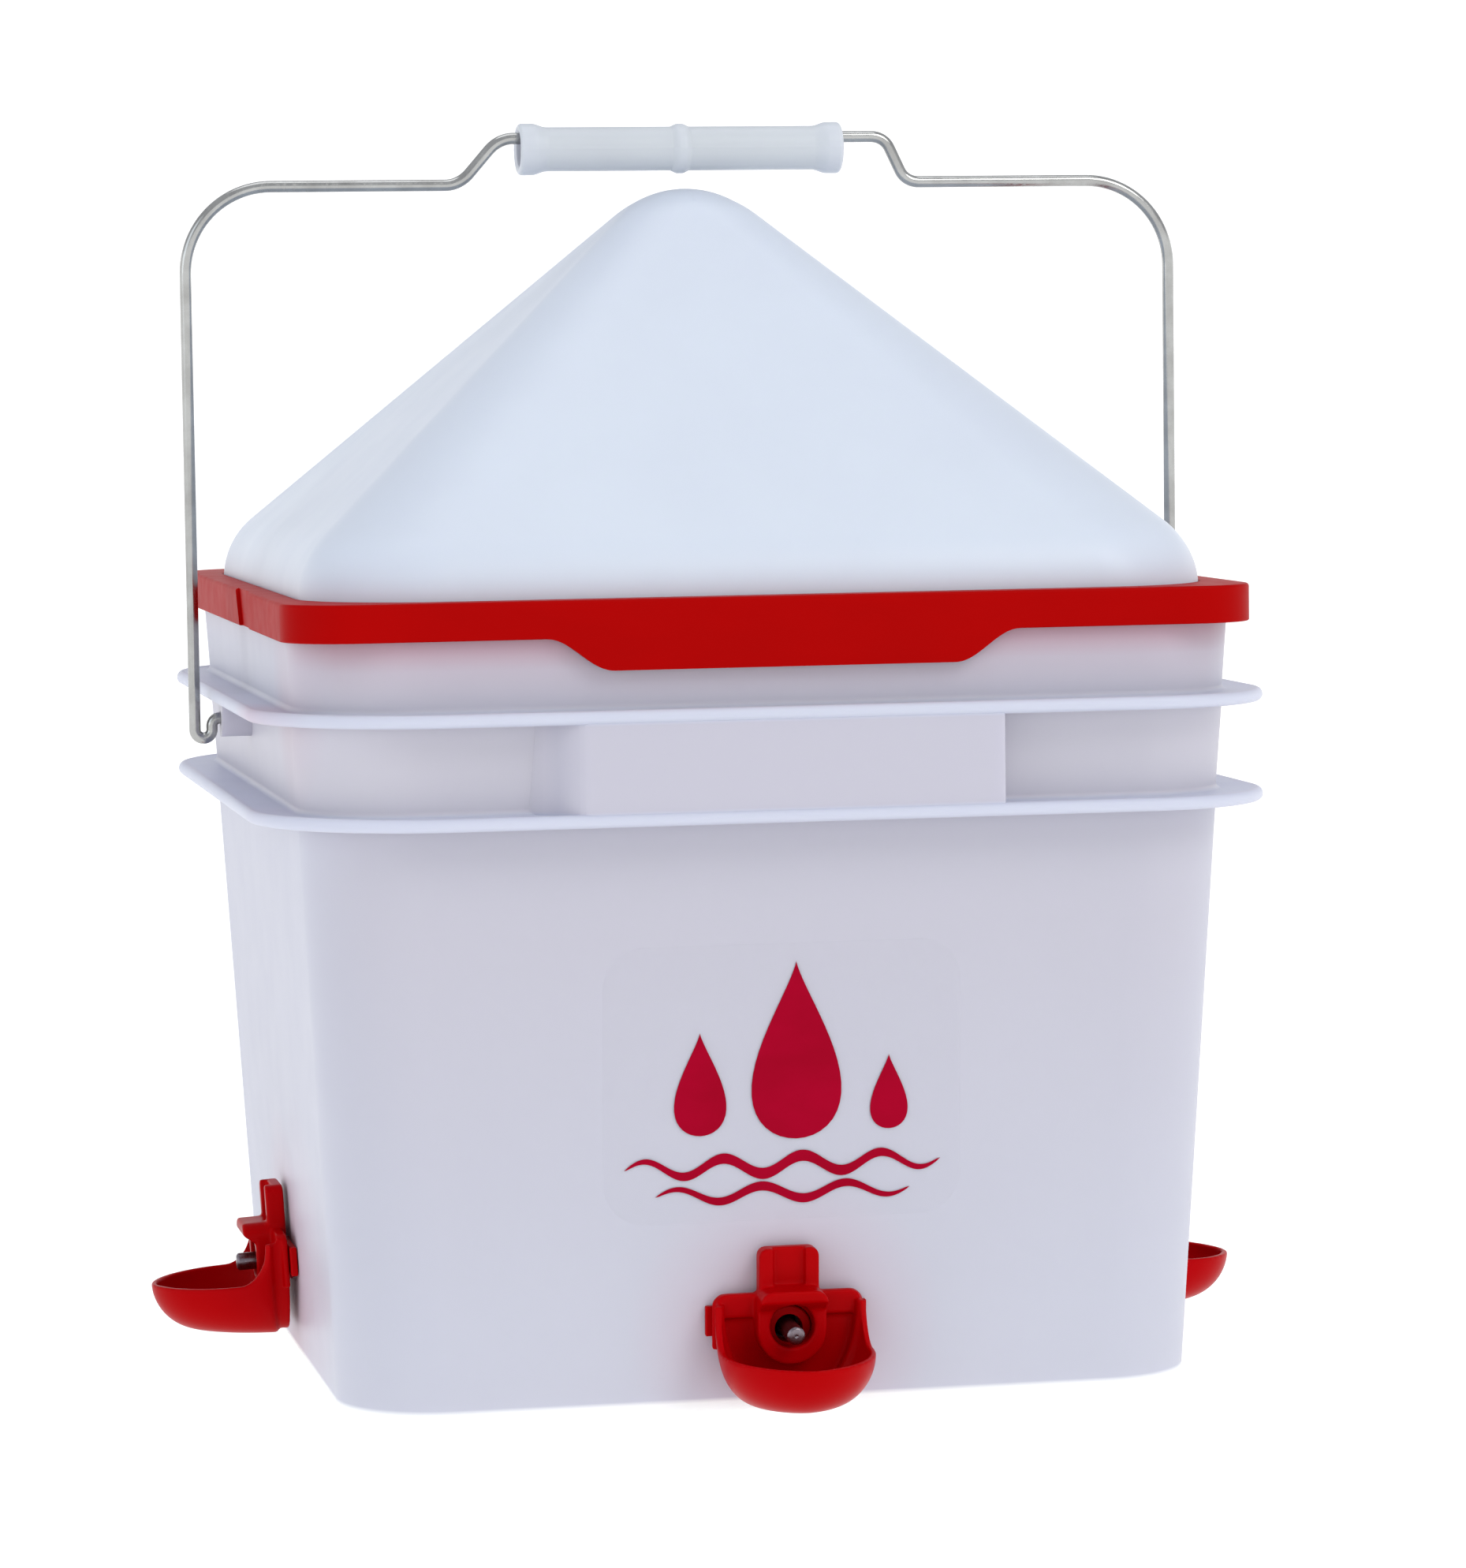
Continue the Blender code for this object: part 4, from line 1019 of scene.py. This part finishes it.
def pin_mesh():
    """The turned pin: ball head, plain shank, chamfered tip with a centre dimple."""
    chamfer = 0.3 * MM
    profile = [
        (PIN_STUB_END, PIN_STUB - chamfer),
        (PIN_STUB_END + chamfer, PIN_STUB),
        (PIN_BALL_BACK, PIN_STUB),
    ]
    back = math.degrees(math.acos((PIN_PIVOT - PIN_BALL_BACK) / PIN_BALL))
    front = math.degrees(math.acos(math.sqrt(PIN_BALL**2 - PIN**2) / PIN_BALL))
    steps = 24
    for step in range(steps + 1):
        angle = math.radians(180 - back + (front - 180 + back) * step / steps)
        profile.append((PIN_PIVOT + PIN_BALL * math.cos(angle), PIN_BALL * math.sin(angle)))
    profile += [
        (PIN_TIP - 0.65 * MM, PIN),
        (PIN_TIP - 0.5 * MM, PIN - 0.05 * MM),
        (PIN_TIP - 0.05 * MM, PIN - 0.55 * MM),
        (PIN_TIP, PIN - 0.65 * MM),
        (PIN_TIP, 0.55 * MM),
        (PIN_TIP - 0.35 * MM, 0.12 * MM),
    ]
    made = object_of("pin", turned(profile, steps=48))
    mesh = made.data
    bpy.data.objects.remove(made)
    return mesh


def make_drinkers(looks):
    """Shapes the cup, body and pin once and places them on each wall. The inner pieces only get looks."""
    inner_looks = {
        "end_cap": "red",
        "lock_nut": "red",
        "seat_seal": "rubber",
        "wall_gasket": "rubber",
        "valve_spring": "spring",
    }
    meshes = {
        "cup": (cup_mesh(), "moulded_cup", looks["red"], "red_plastic", "pail"),
        "nipple_body": (nipple_body_mesh(), "threaded_body", looks["red"], "red_plastic", "pail"),
        "trigger_pin": (pin_mesh(), "steel_pin", looks["steel"], "stainless_pin", "{side}_trigger"),
    }
    for side in PIN_HEIGHTS:
        for node, (mesh, name, finish, slot, body) in meshes.items():
            placed = bpy.data.objects.new(f"{side}_{name}", mesh.copy())
            bpy.context.scene.collection.objects.link(placed)
            placed.data.transform(drinker_place(side))
            if node == "cup":
                placed.data.shade_smooth()
            else:
                smooth(placed, 35)
            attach(placed, body.format(side=side))
            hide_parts(f"{side}_{node}")
            dressed(placed, finish)
        for node, finish in inner_looks.items():
            part = frame["nodes"][f"{side}_{node}"]
            part.data.materials.clear()
            part.data.materials.append(looks[finish])


# ---------------------------------------------------------------- decal


def drop_outline(size, steps=48):
    """A water drop: a round bowl that runs up to a point."""
    pointedness = 1.6
    tallness = 1.35
    points = []
    for step in range(steps):
        angle = 2 * math.pi * step / steps
        pinch = math.sin(angle / 2) ** pointedness
        points.append((size * math.sin(angle) * pinch, size * tallness * math.cos(angle)))
    return points


def wave_outline(length, height, waves, thick, steps=96):
    """A band that runs along a sine wave and tapers to its ends."""
    thinnest_half = 0.05 * MM
    top, under = [], []
    for step in range(steps + 1):
        along = step / steps
        x = length * (along - 0.5)
        middle = height * math.sin(2 * math.pi * waves * along)
        half = thick / 2 * math.sin(math.pi * along) ** 0.5 + thinnest_half
        top.append((x, middle + half))
        under.append((x, middle - half))
    return top + under[::-1]


def printed(name, outline, x, z, depth, near):
    moved = [(px + x, pz + z) for px, pz in outline]
    return object_of(name, prism(moved, 1, -near - depth, -near))


def make_decal(looks):
    """A clear vinyl sheet with a printed motif of water drops over two waves."""
    centre_x = (DECAL_LOW.x + DECAL_HIGH.x) / 2
    centre_z = (DECAL_LOW.z + DECAL_HIGH.z) / 2
    half_x = (DECAL_HIGH.x - DECAL_LOW.x) / 2
    half_z = (DECAL_HIGH.z - DECAL_LOW.z) / 2
    film_corner = 12 * MM
    film_face = -0.25 * MM
    film_back = -0.12 * MM
    ink_thick = 0.08 * MM
    ink_back = 0.3 * MM
    place = Matrix.Translation((centre_x, -wall_half(centre_z), centre_z)) @ Matrix.Rotation(LEAN, 4, "X")
    outline = [(point.x, point.y) for point in rounded_square(half_x, half_z, film_corner, 0)]
    film = object_of("decal_film", prism(outline, 1, film_face, film_back))
    film.data.transform(place)
    smooth(film)
    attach(film, "pail")
    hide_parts("front_decal")
    dressed(film, looks["film"])
    shapes = {
        "decal_drop_large": (drop_outline(19 * MM), 4 * MM, 9 * MM),
        "decal_drop_middle": (drop_outline(11 * MM), -24 * MM, 0),
        "decal_drop_small": (drop_outline(8 * MM), 31 * MM, -4 * MM),
        "decal_wave_upper": (wave_outline(92 * MM, 2.4 * MM, 4, 3.2 * MM), 0, -24 * MM),
        "decal_wave_lower": (wave_outline(74 * MM, 2.0 * MM, 3, 2.6 * MM), 0, -32 * MM),
    }
    for name, (outline, x, z) in shapes.items():
        shape = printed(name, outline, x, z, ink_thick, ink_back)
        shape.data.transform(place)
        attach(shape, "pail")
        dressed(shape, looks["ink"])


# ---------------------------------------------------------------- stage, lights and camera


def make_stage():
    """A softly glowing white floor that curves up all round, so that it shows no shadow and no edge."""
    floor_radius, curve, wall_top = 3.2, 1.0, 1.4
    profile = [(0.01, 0.0), (0.5, 0.0), (1.5, 0.0)]
    profile += arc((floor_radius, curve), curve, 270, 360, 24)
    profile.append((floor_radius + curve, wall_top))
    bm = bmesh.new()
    steps = 96
    rings = []
    for radius, z in profile:
        angles = (2 * math.pi * step / steps for step in range(steps))
        rings.append([bm.verts.new((radius * math.cos(a), radius * math.sin(a), z)) for a in angles])
    for lower, upper in zip(rings, rings[1:]):
        for here in range(steps):
            after = (here + 1) % steps
            bm.faces.new((lower[here], lower[after], upper[after], upper[here]))
    bm.faces.new(rings[0])
    stage = object_of("studio_floor", bm)
    stage.data.shade_smooth()
    looks = Looks("studio_paper")
    looks.link(looks.mixed(looks.noise(3.0), (0.22, 0.22, 0.225), (0.25, 0.25, 0.255)), "Base Color")
    looks.set(Roughness=0.9, Specular_IOR_Level=0.0, Emission_Strength=1.0)
    stage.data.materials.append(looks.material)


def area_light(name, place, target, width, power, colour):
    data = bpy.data.lights.new(name, "AREA")
    data.shape = "DISK"
    data.size = width
    data.energy = power
    data.color = colour
    light = bpy.data.objects.new(name, data)
    light.location = place
    light.rotation_euler = (Vector(target) - Vector(place)).to_track_quat("-Z", "Y").to_euler()
    bpy.context.scene.collection.objects.link(light)


def make_lights():
    middle = (0, 0, 0.18)
    area_light("key", (1.4, -2.0, 2.2), middle, 1.6, 28.0, (1.0, 0.99, 0.97))
    area_light("fill", (-2.2, -1.0, 1.2), middle, 1.8, 8.0, (0.84, 0.92, 1.0))
    area_light("top", (0.0, 0.3, 2.8), middle, 2.0, 12.0, (0.97, 0.98, 1.0))
    world = bpy.data.worlds.new("studio_air")
    world.use_nodes = True
    air = world.node_tree.nodes["Background"]
    air.inputs["Color"].default_value = (0.93, 0.95, 1.0, 1.0)
    air.inputs["Strength"].default_value = 0.65
    bpy.context.scene.world = world
    bpy.context.scene.view_settings.view_transform = "Standard"


def make_camera():
    ahead = Vector((
        math.sin(CAMERA_YAW) * math.cos(CAMERA_PITCH),
        math.cos(CAMERA_YAW) * math.cos(CAMERA_PITCH),
        -math.sin(CAMERA_PITCH),
    ))
    right = Vector((math.cos(CAMERA_YAW), -math.sin(CAMERA_YAW), 0))
    up = right.cross(ahead)
    level_right = math.cos(CAMERA_ROLL) * right + math.sin(CAMERA_ROLL) * up
    level_up = math.cos(CAMERA_ROLL) * up - math.sin(CAMERA_ROLL) * right
    data = bpy.data.cameras.new("camera")
    data.lens = LENS_MM
    data.sensor_width = SENSOR_MM
    data.sensor_fit = "AUTO"
    camera = bpy.data.objects.new("camera", data)
    turn = Matrix((level_right, level_up, -ahead)).transposed().to_4x4()
    camera.matrix_world = Matrix.Translation(CAMERA_PLACE) @ turn
    bpy.context.scene.collection.objects.link(camera)
    bpy.context.scene.camera = camera


make_camera()
looks = make_materials()
make_pail(looks)
make_frame(looks)
make_cover(looks)
make_bail(looks)
make_grip(looks)
make_drinkers(looks)
make_decal(looks)
make_stage()
make_lights()
